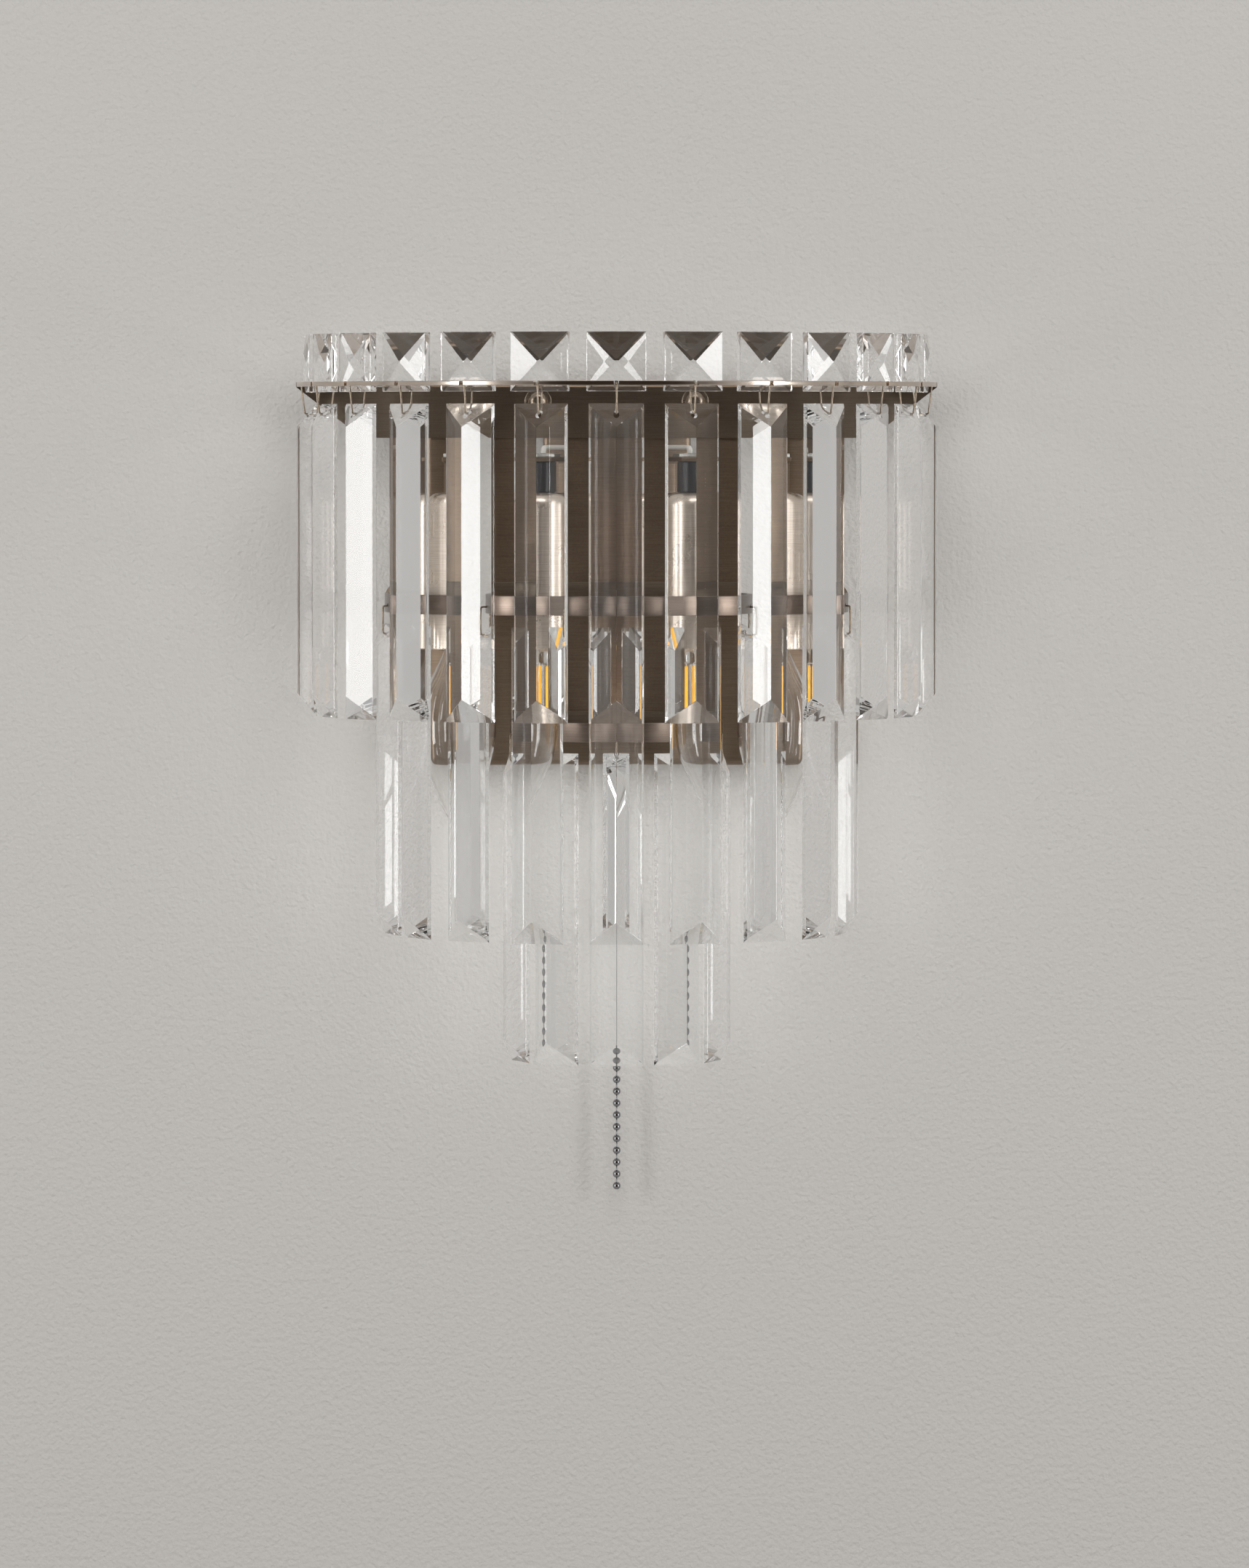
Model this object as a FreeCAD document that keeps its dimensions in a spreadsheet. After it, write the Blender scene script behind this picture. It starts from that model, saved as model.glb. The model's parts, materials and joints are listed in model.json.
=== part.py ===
import FreeCAD, Part

import math
import os

import Sketcher

# A crystal wall sconce: a bent metal pan on the wall carries three half-round tiers. Square
# crystals stand in the slots of the top tier, and thirteen, nine and five long prisms hang from
# the three tiers on wire loops. Two lamps point down between the tiers, and a bead chain works
# a pull switch at the pan's lower edge.
#
# Frame: X to the right, Y into the wall, Z up. The wall is the plane y = 0, and the origin lies
# on it, midway between the two bracket studs. Every size is in millimetres.

os.makedirs("parts", exist_ok=True)
doc = FreeCAD.newDocument("CrystalWallSconce")
Vector = FreeCAD.Vector
Rotation = FreeCAD.Rotation
Placement = FreeCAD.Placement

DIMENSIONS = (
    # backplate pan
    ("pan_width", 185), ("pan_depth", 22), ("pan_wall", 1.2), ("pan_bend", 3),
    ("pan_top", 9.1), ("pan_bottom", 176),
    # wall bracket, studs and cap nuts
    ("bracket_length", 104), ("bracket_rise", 7), ("bracket_drop", 16), ("bracket_thick", 2),
    ("stud_pitch", 76), ("stud_diameter", 4), ("stud_clearance", 0.3), ("stud_reach", 29),
    ("washer_diameter", 13), ("washer_thick", 1.2), ("nut_diameter", 9), ("nut_length", 7),
    ("wall_screw_pitch", 48), ("wall_screw_hole", 4.6), ("cable_hole", 12),
    # all tiers
    ("tier_setback", 2.5), ("strip_thick", 1.5),
    # top tier
    ("top_radius", 155), ("top_plate_level", 6.9), ("top_plate_thick", 2.2), ("plate_width", 22),
    ("top_count", 13), ("top_step", 14),
    ("flange_height", 24.6), ("flange_taper", 32),
    # middle tier
    ("mid_radius", 112), ("mid_count", 9), ("mid_step", 20), ("mid_band_top", 92.4),
    ("mid_strip_rise", 5), ("mid_strip_height", 14.2),
    # lowest tier
    ("low_radius", 51.5), ("low_count", 5), ("low_step", 36), ("low_band_top", 154),
    ("low_strip_rise", 4), ("low_strip_height", 13.3),
    # bands of both lower tiers
    ("band_thick", 1.5), ("band_height", 9.3), ("band_hole", 1.8), ("band_hole_drop", 5.7),
    # square crystals
    ("square_side", 28), ("square_girdle", 3.5), ("square_rise", 3.1), ("square_facet", 0.8),
    ("square_sink", 2.8), ("square_inset", 7), ("square_hole", 1.8), ("slot_clearance", 0.15),
    ("slit_width", 2.3),
    # long prisms
    ("prism_length", 150), ("prism_width", 26), ("prism_depth", 9), ("prism_edge", 1.5),
    ("prism_shoulder", 1), ("prism_bevel", 11), ("prism_hole", 1.8), ("prism_hole_drop", 5.1),
    # wire loops
    ("wire_diameter", 0.9), ("wire_bend", 1), ("loop_width_top", 9), ("loop_width_bottom", 6),
    ("top_loop_drop", 14.2), ("band_loop_drop", 13.4), ("hang_gap", 0.1),
    # lamp holders
    ("lamp_spacing", 153), ("lamp_reach", 60), ("arm_level", 27), ("arm_thick", 2),
    ("arm_width", 14), ("arm_tab", 25), ("arm_nose", 8), ("arm_screw_drop", 17),
    ("neck_diameter", 11), ("neck_length", 15), ("nipple_diameter", 9.6), ("nipple_bore", 6),
    ("nipple_rise", 2), ("nipple_dip", 8), ("nipple_clearance", 0.15), ("ring_nut_diameter", 15),
    ("ring_nut_thick", 1.8), ("cup_diameter", 29), ("cup_length", 75), ("cup_wall", 1),
    ("cup_shoulder", 6), ("socket_diameter", 24), ("socket_length", 72),
    ("socket_clearance", 0.3), ("socket_lip", 2),
    # candle bulbs
    ("cap_diameter", 13.6), ("cap_length", 22), ("cap_skin", 0.5), ("contact_diameter", 6),
    ("contact_length", 2), ("glass_diameter", 37), ("glass_length", 92), ("glass_wall", 0.8),
    ("glass_neck", 12.2), ("glass_seat", 5), ("filament_diameter", 1.4), ("filament_length", 40),
    ("filament_ring", 4), ("stem_diameter", 5), ("stem_length", 12), ("stem_collar", 1.2),
    # pull switch and chain
    ("chain_setback", 11), ("switch_width", 15), ("switch_height", 32),
    ("bushing_diameter", 9.5), ("bushing_length", 4), ("bushing_clearance", 0.15),
    ("plunger_diameter", 2.6), ("plunger_head", 5), ("plunger_head_height", 3),
    ("plunger_clearance", 0.3), ("plunger_rise", 32), ("plunger_travel", 10),
    ("bell_diameter", 13), ("bell_mouth", 8.6), ("bell_length", 9), ("bell_bore", 5),
    ("bell_collar", 2), ("chain_gap", 2), ("first_link", 4.25), ("bead_diameter", 3.8),
    ("bead_pitch", 5.75), ("bead_count", 34), ("link_diameter", 0.9), ("link_gap", 0.1),
    # terminal block, leads and grommets
    ("block_width", 28), ("block_depth", 9), ("block_height", 14), ("block_top", 30),
    ("lead_diameter", 2.4), ("lead_rise", 4.7), ("lead_bend", 7), ("lead_bend_wide", 14),
    ("lead_bend_tight", 3.5), ("lead_run", 32.13), ("lead_climb", 18.36), ("lead_step", 1),
    ("lead_clearance", 0.2), ("grommet_wall", 1.2), ("grommet_flange", 1.4),
    ("grommet_flange_thick", 0.8),
    # screws
    ("screw_diameter", 3), ("screw_clearance", 0.2), ("screw_reach", 2), ("screw_head", 6.5),
    ("screw_head_height", 2.2), ("screw_slot", 0.9),
)


class Size:
    """A size in millimetres, or a count, with the sheet formula that gives it."""

    def __init__(self, value, formula):
        self.value = value
        self.formula = formula

    def __add__(self, other):
        other = as_size(other)
        return Size(self.value + other.value, f"({self.formula} + {other.formula})")

    def __sub__(self, other):
        other = as_size(other)
        return Size(self.value - other.value, f"({self.formula} - {other.formula})")

    def __mul__(self, other):
        other = as_size(other)
        return Size(self.value * other.value, f"({self.formula} * {other.formula})")

    def __truediv__(self, other):
        other = as_size(other)
        return Size(self.value / other.value, f"({self.formula} / {other.formula})")

    def __neg__(self):
        return Size(-self.value, f"(-{self.formula})")


def as_size(number):
    """A plain number as a Size, and a Size as it is."""
    if isinstance(number, Size):
        return number
    return Size(number, f"({number})")


class Dimensions:
    """The cells of the sheet by their aliases."""


dim = Dimensions()
sheet = doc.addObject("Spreadsheet::Sheet", "Sizes")
for row, (alias, number) in enumerate(DIMENSIONS, start=1):
    sheet.set(f"A{row}", alias.replace("_", " "))
    sheet.set(f"B{row}", str(number))
    sheet.setAlias(f"B{row}", alias)
    setattr(dim, alias, Size(number, f"Sizes.{alias}"))
doc.recompute()

# Directions in which a round bar or a box can point.
UP = Rotation()
DOWN = Rotation(Vector(1, 0, 0), 180)
FRONT = Rotation(Vector(1, 0, 0), 90)
BACK = Rotation(Vector(1, 0, 0), -90)

# ---------------------------------------------------------------- shared helpers

sub_parts = []


def sub_part(thing, label):
    """Names a finished sub-part and puts it on the list of those that are written."""
    thing.Label = label
    sub_parts.append(thing)
    return thing


def bind(thing, **sizes):
    """Ties properties of an object to the sheet."""
    for name, size in sizes.items():
        thing.setExpression(name, as_size(size).formula)


def place(thing, x=0, y=0, z=0, turn=UP):
    """Puts an object at a point that follows the sheet."""
    x, y, z = as_size(x), as_size(y), as_size(z)
    thing.Placement = Placement(Vector(x.value, y.value, z.value), turn)
    for axis, size in (("x", x), ("y", y), ("z", z)):
        thing.setExpression(f"Placement.Base.{axis}", size.formula)
    return thing


def cylinder(name, diameter, length, x=0, y=0, z=0, turn=UP):
    """A round bar that starts at x, y, z."""
    bar = doc.addObject("Part::Cylinder", name)
    bind(bar, Radius=as_size(diameter) / 2, Height=length)
    return place(bar, x, y, z, turn)


def cone(name, first_diameter, last_diameter, length, x=0, y=0, z=0, turn=UP):
    """A tapered bar that starts at x, y, z with its first diameter."""
    bar = doc.addObject("Part::Cone", name)
    bind(bar, Radius1=first_diameter / 2, Radius2=last_diameter / 2, Height=length)
    return place(bar, x, y, z, turn)


def block(name, low, high):
    """A box between its lowest and its highest corner."""
    low = [as_size(v) for v in low]
    high = [as_size(v) for v in high]
    box = doc.addObject("Part::Box", name)
    bind(box, Length=high[0] - low[0], Width=high[1] - low[1], Height=high[2] - low[2])
    return place(box, *low)


def fuse(name, pieces):
    """One object made of several."""
    whole = doc.addObject("Part::MultiFuse", name)
    whole.Shapes = list(pieces)
    return whole


def cut(name, base, tools):
    """A piece with one or more others taken away."""
    tools = list(tools)
    result = doc.addObject("Part::Cut", name)
    result.Base = base
    result.Tool = tools[0] if len(tools) == 1 else fuse(f"{name}_cutters", tools)
    return result


def rounded(name, base, radius, chosen):
    """A piece whose chosen edges are rounded; chosen tests an edge's own shape."""
    doc.recompute()
    numbers = [n for n, edge in enumerate(base.Shape.Edges, start=1) if chosen(edge)]
    result = doc.addObject("Part::Fillet", name)
    result.Base = base
    result.Edges = [(n, radius.value, radius.value) for n in numbers]
    return result


def group(name, pieces):
    """Separate solids that share one node."""
    doc.recompute()
    bundle = doc.addObject("Part::Feature", name)
    bundle.Shape = Part.makeCompound(list(pieces))
    return bundle


def pair(name, make):
    """A left and a right copy of the piece that make(name, x) gives."""
    halves = []
    for side, sign in (("left", -1), ("right", 1)):
        halves.append(make(f"{name}_{side}", dim.lamp_spacing / 2 * sign))
    doc.recompute()
    return group(name, [half.Shape.copy() for half in halves])


def origin_plane(body, role):
    """One of a body's own origin planes."""
    return [(feature, "") for feature in body.Origin.OriginFeatures if feature.Role == role][0]


def polygon(body, name, role, outlines):
    """A sketch of straight-sided outlines, each corner tied to the sheet."""
    sketch = body.newObject("Sketcher::SketchObject", name)
    sketch.AttachmentSupport = [origin_plane(body, role)]
    sketch.MapMode = "FlatFace"
    for corners in outlines:
        corners = [(as_size(u), as_size(v)) for u, v in corners]
        first = sketch.GeometryCount
        count = len(corners)
        for n, (u, v) in enumerate(corners):
            next_u, next_v = corners[(n + 1) % count]
            start = Vector(u.value, v.value, 0)
            end = Vector(next_u.value, next_v.value, 0)
            sketch.addGeometry(Part.LineSegment(start, end), False)
        for n, (u, v) in enumerate(corners):
            line = first + n
            following = first + (n + 1) % count
            sketch.addConstraint(Sketcher.Constraint("Coincident", line, 2, following, 1))
            for direction, size in (("DistanceX", u), ("DistanceY", v)):
                constraint = Sketcher.Constraint(direction, -1, 1, line, 1, size.value)
                number = sketch.addConstraint(constraint)
                sketch.setExpression(f"Constraints[{number}]", size.formula)
    return sketch


def circle_sketch(body, name, role, u, v, diameter):
    """A sketch of one circle, its centre and diameter tied to the sheet."""
    sketch = body.newObject("Sketcher::SketchObject", name)
    sketch.AttachmentSupport = [origin_plane(body, role)]
    sketch.MapMode = "FlatFace"
    u, v = as_size(u), as_size(v)
    ring = Part.Circle(Vector(u.value, v.value, 0), Vector(0, 0, 1), diameter.value / 2)
    sketch.addGeometry(ring, False)
    rules = (
        (Sketcher.Constraint("DistanceX", -1, 1, 0, 3, u.value), u),
        (Sketcher.Constraint("DistanceY", -1, 1, 0, 3, v.value), v),
        (Sketcher.Constraint("Diameter", 0, diameter.value), diameter),
    )
    for constraint, size in rules:
        number = sketch.addConstraint(constraint)
        sketch.setExpression(f"Constraints[{number}]", size.formula)
    return sketch


def pad(body, name, sketch, length, reverse=False, middle=False):
    """Thickens a sketch into a solid."""
    feature = body.newObject("PartDesign::Pad", name)
    feature.Profile = sketch
    bind(feature, Length=length)
    feature.Reversed = reverse
    feature.SideType = "Symmetric" if middle else "One side"
    return feature


def pocket(body, name, sketch, length):
    """Cuts a sketch away to both sides of its plane."""
    feature = body.newObject("PartDesign::Pocket", name)
    feature.Profile = sketch
    bind(feature, Length=length)
    feature.SideType = "Symmetric"
    return feature


# ---------------------------------------------------------------- places worked out once

PAN_FRONT = -dim.pan_depth
STRIP_FRONT = PAN_FRONT - dim.strip_thick
TIER_CENTRE = PAN_FRONT - dim.tier_setback
PAN_INSIDE = PAN_FRONT + dim.pan_wall
CHAIN_Y = -dim.chain_setback
LAMP_Y = -dim.lamp_reach
MARGIN = as_size(1)  # how far a cutter runs past the face it opens
TOUCH = 0.01  # how near two levels have to be to count as one
SQUARE_RING = dim.top_radius - dim.square_inset
MID_STRIP_TOP = -dim.mid_band_top + dim.mid_strip_rise
LOW_STRIP_TOP = -dim.low_band_top + dim.low_strip_rise
LEAD_LEVEL = -dim.arm_level + dim.lead_rise
PLUNGER_TOP = -dim.pan_bottom + dim.plunger_rise
CHAIN_TOP = -dim.pan_bottom - dim.bell_length - dim.chain_gap
FIRST_BEAD = CHAIN_TOP - dim.first_link


def station_angles(count, step):
    """Angles of the stations of one tier, from left to right, with 0 at the front."""
    steps = int(count.value)
    middle = (steps - 1) / 2
    return [(n - middle) * step.value for n in range(steps)]


def at_station(angle, x, outward, z):
    """The placement of a piece that faces outward at a station of a tier."""
    turn = Rotation(Vector(0, 0, 1), angle)
    centre = Vector(0, TIER_CENTRE.value, 0)
    return Placement(centre + turn.multVec(Vector(x, -outward, z)), turn)


# ---------------------------------------------------------------- backplate pan


def not_at_wall(edge):
    """True for the pan's edges that are bent, so for all but those at its open back."""
    return edge.BoundBox.YMin < -dim.pan_bend.value


def backplate_pan():
    """A bent sheet pan, open to the wall, with holes for all that it carries."""
    half = dim.pan_width / 2
    wall = dim.pan_wall
    outside = block("pan_outside", (-half, PAN_FRONT, -dim.pan_bottom), (half, 0, dim.pan_top))
    inside = block(
        "pan_inside",
        (-half + wall, PAN_INSIDE, -dim.pan_bottom + wall),
        (half - wall, MARGIN, dim.pan_top - wall),
    )
    shell = cut(
        "pan_shell",
        rounded("pan_outside_bends", outside, dim.pan_bend, not_at_wall),
        [rounded("pan_inside_bends", inside, dim.pan_bend - wall, not_at_wall)],
    )
    start = PAN_INSIDE + MARGIN
    reach = wall + MARGIN * 2
    holes = []
    for side in (-1, 1):
        stud_x = dim.stud_pitch / 2 * side
        lamp_x = dim.lamp_spacing / 2 * side
        holes += [
            cylinder(f"pan_stud_hole{side}", STUD_HOLE, reach, stud_x, start, 0, FRONT),
            cylinder(f"pan_lead_hole{side}", LEAD_HOLE, reach, lamp_x, start,
                     LEAD_LEVEL, FRONT),
            cylinder(f"pan_arm_hole{side}", SCREW_HOLE, reach, lamp_x, start,
                     ARM_SCREW_Z, FRONT),
        ]
    for name, level in (("mid", MID_SCREW_Z), ("low", LOW_SCREW_Z)):
        holes.append(cylinder(f"pan_{name}_hole", SCREW_HOLE, reach, 0, start, level, FRONT))
    holes.append(
        cylinder("pan_switch_hole", BUSHING_HOLE, reach, 0, CHAIN_Y,
                 -dim.pan_bottom + wall + MARGIN, DOWN)
    )
    return sub_part(cut("backplate_pan", shell, holes), "backplate_pan")


STUD_HOLE = dim.stud_diameter + dim.stud_clearance * 2
SCREW_HOLE = dim.screw_diameter + dim.screw_clearance * 2
BUSHING_HOLE = dim.bushing_diameter + dim.bushing_clearance * 2
LEAD_HOLE = dim.lead_diameter + dim.lead_clearance * 2 + dim.grommet_wall * 2
ARM_SCREW_Z = -dim.arm_level - dim.arm_screw_drop
MID_SCREW_Z = MID_STRIP_TOP - dim.mid_strip_height / 2
LOW_SCREW_Z = LOW_STRIP_TOP - dim.low_strip_height / 2

backplate_pan()

# ---------------------------------------------------------------- wall bracket and studs


def wall_bracket():
    """The strap that is screwed to the wall, with its cable hole."""
    half = dim.bracket_length / 2
    thick = dim.bracket_thick
    strap = block(
        "bracket_strap", (-half, -thick, -dim.bracket_drop), (half, 0, dim.bracket_rise)
    )
    reach = thick + MARGIN * 2
    holes = [cylinder("bracket_cable_hole", dim.cable_hole, reach, 0, MARGIN, 0, FRONT)]
    for side in (-1, 1):
        screw_x = dim.wall_screw_pitch / 2 * side
        stud_x = dim.stud_pitch / 2 * side
        holes += [
            cylinder(f"bracket_screw_hole{side}", dim.wall_screw_hole, reach, screw_x,
                     MARGIN, 0, FRONT),
            cylinder(f"bracket_stud_hole{side}", dim.stud_diameter, reach, stud_x,
                     MARGIN, 0, FRONT),
        ]
    return sub_part(cut("wall_bracket", strap, holes), "wall_bracket")


def bracket_studs():
    """Two studs fixed in the bracket, which reach out through the pan and the flange."""
    studs = []
    for side in (-1, 1):
        stud_x = dim.stud_pitch / 2 * side
        studs.append(
            cylinder(f"stud{side}", dim.stud_diameter, dim.stud_reach, stud_x, 0, 0, FRONT)
        )
    doc.recompute()
    return sub_part(group("bracket_studs", [s.Shape.copy() for s in studs]), "bracket_studs")


def cap_nuts():
    """A flanged cap nut on each stud, with a domed end and a blind hole."""
    nuts = []
    for side in (-1, 1):
        stud_x = dim.stud_pitch / 2 * side
        front = STRIP_FRONT - dim.washer_thick
        bore = dim.stud_reach + STRIP_FRONT + dim.stud_clearance + MARGIN
        washer = cylinder(f"nut_flange{side}", dim.washer_diameter, dim.washer_thick, stud_x,
                          STRIP_FRONT, 0, FRONT)
        barrel = cylinder(f"nut_barrel{side}", dim.nut_diameter, dim.nut_length, stud_x,
                          STRIP_FRONT, 0, FRONT)
        edge = rounded(
            f"nut_dome{side}", barrel, dim.nut_diameter / 3,
            lambda e: len(e.Vertexes) == 1 and e.CenterOfMass.y < front.value,
        )
        hole = cylinder(f"nut_bore{side}", dim.stud_diameter, bore, stud_x,
                        STRIP_FRONT + MARGIN, 0, FRONT)
        nuts.append(cut(f"nut{side}", fuse(f"nut_blank{side}", [washer, edge]), [hole]))
    doc.recompute()
    return sub_part(group("cap_nuts", [n.Shape.copy() for n in nuts]), "cap_nuts")


wall_bracket()
bracket_studs()
cap_nuts()

# ---------------------------------------------------------------- top tier

TOP_FACE = dim.top_plate_level + dim.top_plate_thick
SQUARE_LOW = dim.top_plate_level - dim.square_sink
SLOPE = dim.square_rise / (dim.square_side / 2)
SLOT_DEPTH = (
    dim.square_girdle + SLOPE * (dim.square_sink + dim.top_plate_thick) * 2
    + dim.slot_clearance * 2
)
SLOT_LENGTH = dim.square_side + dim.slot_clearance * 2
LOOP_TOP_Z = dim.top_plate_level + dim.top_plate_thick / 2


def top_tier_plate():
    """The half-round ring, with a slot for each square and a slit for each wire loop."""
    disc = doc.addObject("Part::Cylinder", "plate_disc")
    bind(disc, Radius=dim.top_radius, Height=dim.top_plate_thick)
    disc.Angle = 180
    place(disc, 0, TIER_CENTRE, dim.top_plate_level, Rotation(Vector(0, 0, 1), 180))
    heel = block(
        "plate_heel",
        (-dim.top_radius, TIER_CENTRE, dim.top_plate_level),
        (dim.top_radius, PAN_FRONT, TOP_FACE),
    )
    low = dim.top_plate_level - MARGIN
    height = dim.top_plate_thick + MARGIN * 2
    inner = dim.top_radius - dim.plate_width
    opening = cylinder("plate_opening", inner * 2, height, 0, TIER_CENTRE, low, UP)
    behind = block(
        "plate_opening_behind",
        (-inner, TIER_CENTRE, low),
        (inner, PAN_FRONT + MARGIN, low + height),
    )
    tools = [opening, behind]
    slit_start = SQUARE_RING - dim.loop_width_top / 2 - dim.wire_diameter
    for n, angle in enumerate(station_angles(dim.top_count, dim.top_step), start=1):
        slot = doc.addObject("Part::Box", f"plate_slot{n}")
        bind(slot, Length=SLOT_LENGTH, Width=SLOT_DEPTH, Height=height)
        outward = SQUARE_RING + SLOT_DEPTH / 2
        slot.Placement = at_station(angle, -SLOT_LENGTH.value / 2, outward.value, low.value)
        slit = doc.addObject("Part::Box", f"plate_slit{n}")
        slit_length = dim.top_radius - slit_start + MARGIN
        bind(slit, Length=dim.slit_width, Width=slit_length, Height=height)
        outward = slit_start + slit_length
        slit.Placement = at_station(angle, -dim.slit_width.value / 2, outward.value, low.value)
        tools += [slot, slit]
    return sub_part(cut("top_tier_plate", fuse("plate_blank", [disc, heel]), tools),
                    "top_tier_plate")


def top_tier_flange():
    """The upright back flange under the plate, with slanted ends and two stud holes."""
    body = doc.addObject("PartDesign::Body", "flange_body")
    top = dim.top_plate_level
    bottom = dim.top_plate_level - dim.flange_height
    half = dim.top_radius
    narrow = half - dim.flange_taper
    outline = ((-narrow, bottom), (narrow, bottom), (half, top), (-half, top))
    sketch = polygon(body, "flange_outline", "XZ_Plane", [outline])
    pad(body, "flange_sheet", sketch, dim.strip_thick)
    place(body, 0, PAN_FRONT, 0)
    reach = dim.strip_thick + MARGIN * 2
    holes = []
    for side in (-1, 1):
        holes.append(
            cylinder(f"flange_stud_hole{side}", STUD_HOLE, reach, dim.stud_pitch / 2 * side,
                     PAN_FRONT + MARGIN, 0, FRONT)
        )
    return sub_part(cut("top_tier_flange", body, holes), "top_tier_flange")


def square_crystal():
    """One square crystal about its own centre: a girdle with a low pyramid on each face."""
    half = dim.square_side / 2
    girdle = block(
        "square_girdle_block",
        (-half, -dim.square_girdle / 2, -half),
        (half, dim.square_girdle / 2, half),
    )
    pieces = [girdle]
    for name, turn in (("front", FRONT), ("back", BACK)):
        pyramid = doc.addObject("Part::Wedge", f"square_{name}_pyramid")
        bind(
            pyramid,
            Xmin=-half, Xmax=half, Ymin=0, Ymax=dim.square_rise, Zmin=-half, Zmax=half,
            X2min=-dim.square_facet / 2, X2max=dim.square_facet / 2,
            Z2min=-dim.square_facet / 2, Z2max=dim.square_facet / 2,
        )
        sign = -1 if name == "front" else 1
        half_turn = Rotation(Vector(0, 0, 1), 180 if name == "front" else 0)
        place(pyramid, 0, dim.square_girdle / 2 * sign, 0, half_turn)
        pieces.append(pyramid)
    reach = dim.square_girdle + dim.square_rise * 2 + MARGIN * 2
    wire_rest = LOOP_TOP_Z + dim.square_hole / 2 - dim.wire_diameter / 2 - dim.hang_gap
    hole = cylinder("square_wire_hole", dim.square_hole, reach, 0, reach / 2,
                    wire_rest - SQUARE_LOW - half, FRONT)
    return cut("square_crystal_pattern", fuse("square_blank", pieces), [hole])


def square_crystals():
    """The row of squares that stand in the slots of the top plate."""
    pattern = square_crystal()
    doc.recompute()
    height = SQUARE_LOW + dim.square_side / 2
    squares = []
    for angle in station_angles(dim.top_count, dim.top_step):
        square = pattern.Shape.copy()
        square.Placement = at_station(angle, 0, SQUARE_RING.value, height.value)
        squares.append(square)
    return sub_part(group("square_crystals", squares), "square_crystals")


top_tier_plate()
top_tier_flange()
square_crystals()

# ---------------------------------------------------------------- lower tiers


def half_ring(name, outer, level):
    """A half-round band whose straight ends run back to the front of its strip."""
    solids = []
    for kind, radius in (("outer", outer), ("inner", outer - dim.band_thick)):
        drum = doc.addObject("Part::Cylinder", f"{name}_{kind}")
        bind(drum, Radius=radius, Height=dim.band_height)
        drum.Angle = 180
        place(drum, 0, TIER_CENTRE, level, Rotation(Vector(0, 0, 1), 180))
        solids.append(drum)
    ring = cut(f"{name}_ring", solids[0], solids[1:])
    ends = []
    for side, left_face in (("left", -outer), ("right", outer - dim.band_thick)):
        ends.append(
            block(f"{name}_{side}_end", (left_face, TIER_CENTRE, level),
                  (left_face + dim.band_thick, STRIP_FRONT, level + dim.band_height))
        )
    return fuse(f"{name}_blank", [ring, *ends])


def tier_band(name, outer, top, count, step):
    """One band with a wire hole at each station."""
    level = -top - dim.band_height
    blank = half_ring(name, outer, level)
    holes = []
    reach = dim.band_thick + MARGIN * 2
    start = outer - dim.band_thick - MARGIN
    for n, angle in enumerate(station_angles(count, step), start=1):
        hole = doc.addObject("Part::Cylinder", f"{name}_hole{n}")
        bind(hole, Radius=dim.band_hole / 2, Height=reach)
        spot = at_station(angle, 0, start.value, (-top - dim.band_hole_drop).value)
        hole.Placement = spot * Placement(Vector(), FRONT)
        holes.append(hole)
    return sub_part(cut(name, blank, holes), name)


def tier_strip(name, half, top, height):
    """A flat back strip with rounded ends and a screw hole in its middle."""
    body = doc.addObject("PartDesign::Body", f"{name}_body")
    sketch = body.newObject("Sketcher::SketchObject", f"{name}_outline")
    sketch.AttachmentSupport = [origin_plane(body, "XZ_Plane")]
    sketch.MapMode = "FlatFace"
    low, high = (-height / 2).value, (height / 2).value
    straight = (half - height / 2).value
    quarter = math.pi / 2
    sketch.addGeometry(Part.LineSegment(Vector(-straight, low, 0), Vector(straight, low, 0)))
    for side in (1, -1):
        centre = Part.Circle(Vector(straight * side, 0, 0), Vector(0, 0, 1), high)
        first = -quarter if side == 1 else quarter
        sketch.addGeometry(Part.ArcOfCircle(centre, first, first + 2 * quarter))
    sketch.addGeometry(Part.LineSegment(Vector(straight, high, 0), Vector(-straight, high, 0)))
    for first, end, second, start in ((0, 2, 1, 1), (1, 2, 3, 1), (3, 2, 2, 1), (2, 2, 0, 1)):
        sketch.addConstraint(Sketcher.Constraint("Tangent", first, end, second, start))
    sketch.addConstraint(Sketcher.Constraint("Horizontal", 0))
    sketch.addConstraint(Sketcher.Constraint("Symmetric", 1, 3, 2, 3, -1, 1))
    rules = (
        (Sketcher.Constraint("Radius", 1, high), height / 2),
        (Sketcher.Constraint("DistanceX", -1, 1, 1, 3, straight), half - height / 2),
    )
    for constraint, size in rules:
        number = sketch.addConstraint(constraint)
        sketch.setExpression(f"Constraints[{number}]", size.formula)
    pad(body, f"{name}_sheet", sketch, dim.strip_thick)
    place(body, 0, PAN_FRONT, top - height / 2)
    hole = cylinder(f"{name}_screw_hole", SCREW_HOLE, dim.strip_thick + MARGIN * 2, 0,
                    PAN_FRONT + MARGIN, top - height / 2, FRONT)
    return sub_part(cut(name, body, [hole]), name)


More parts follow.
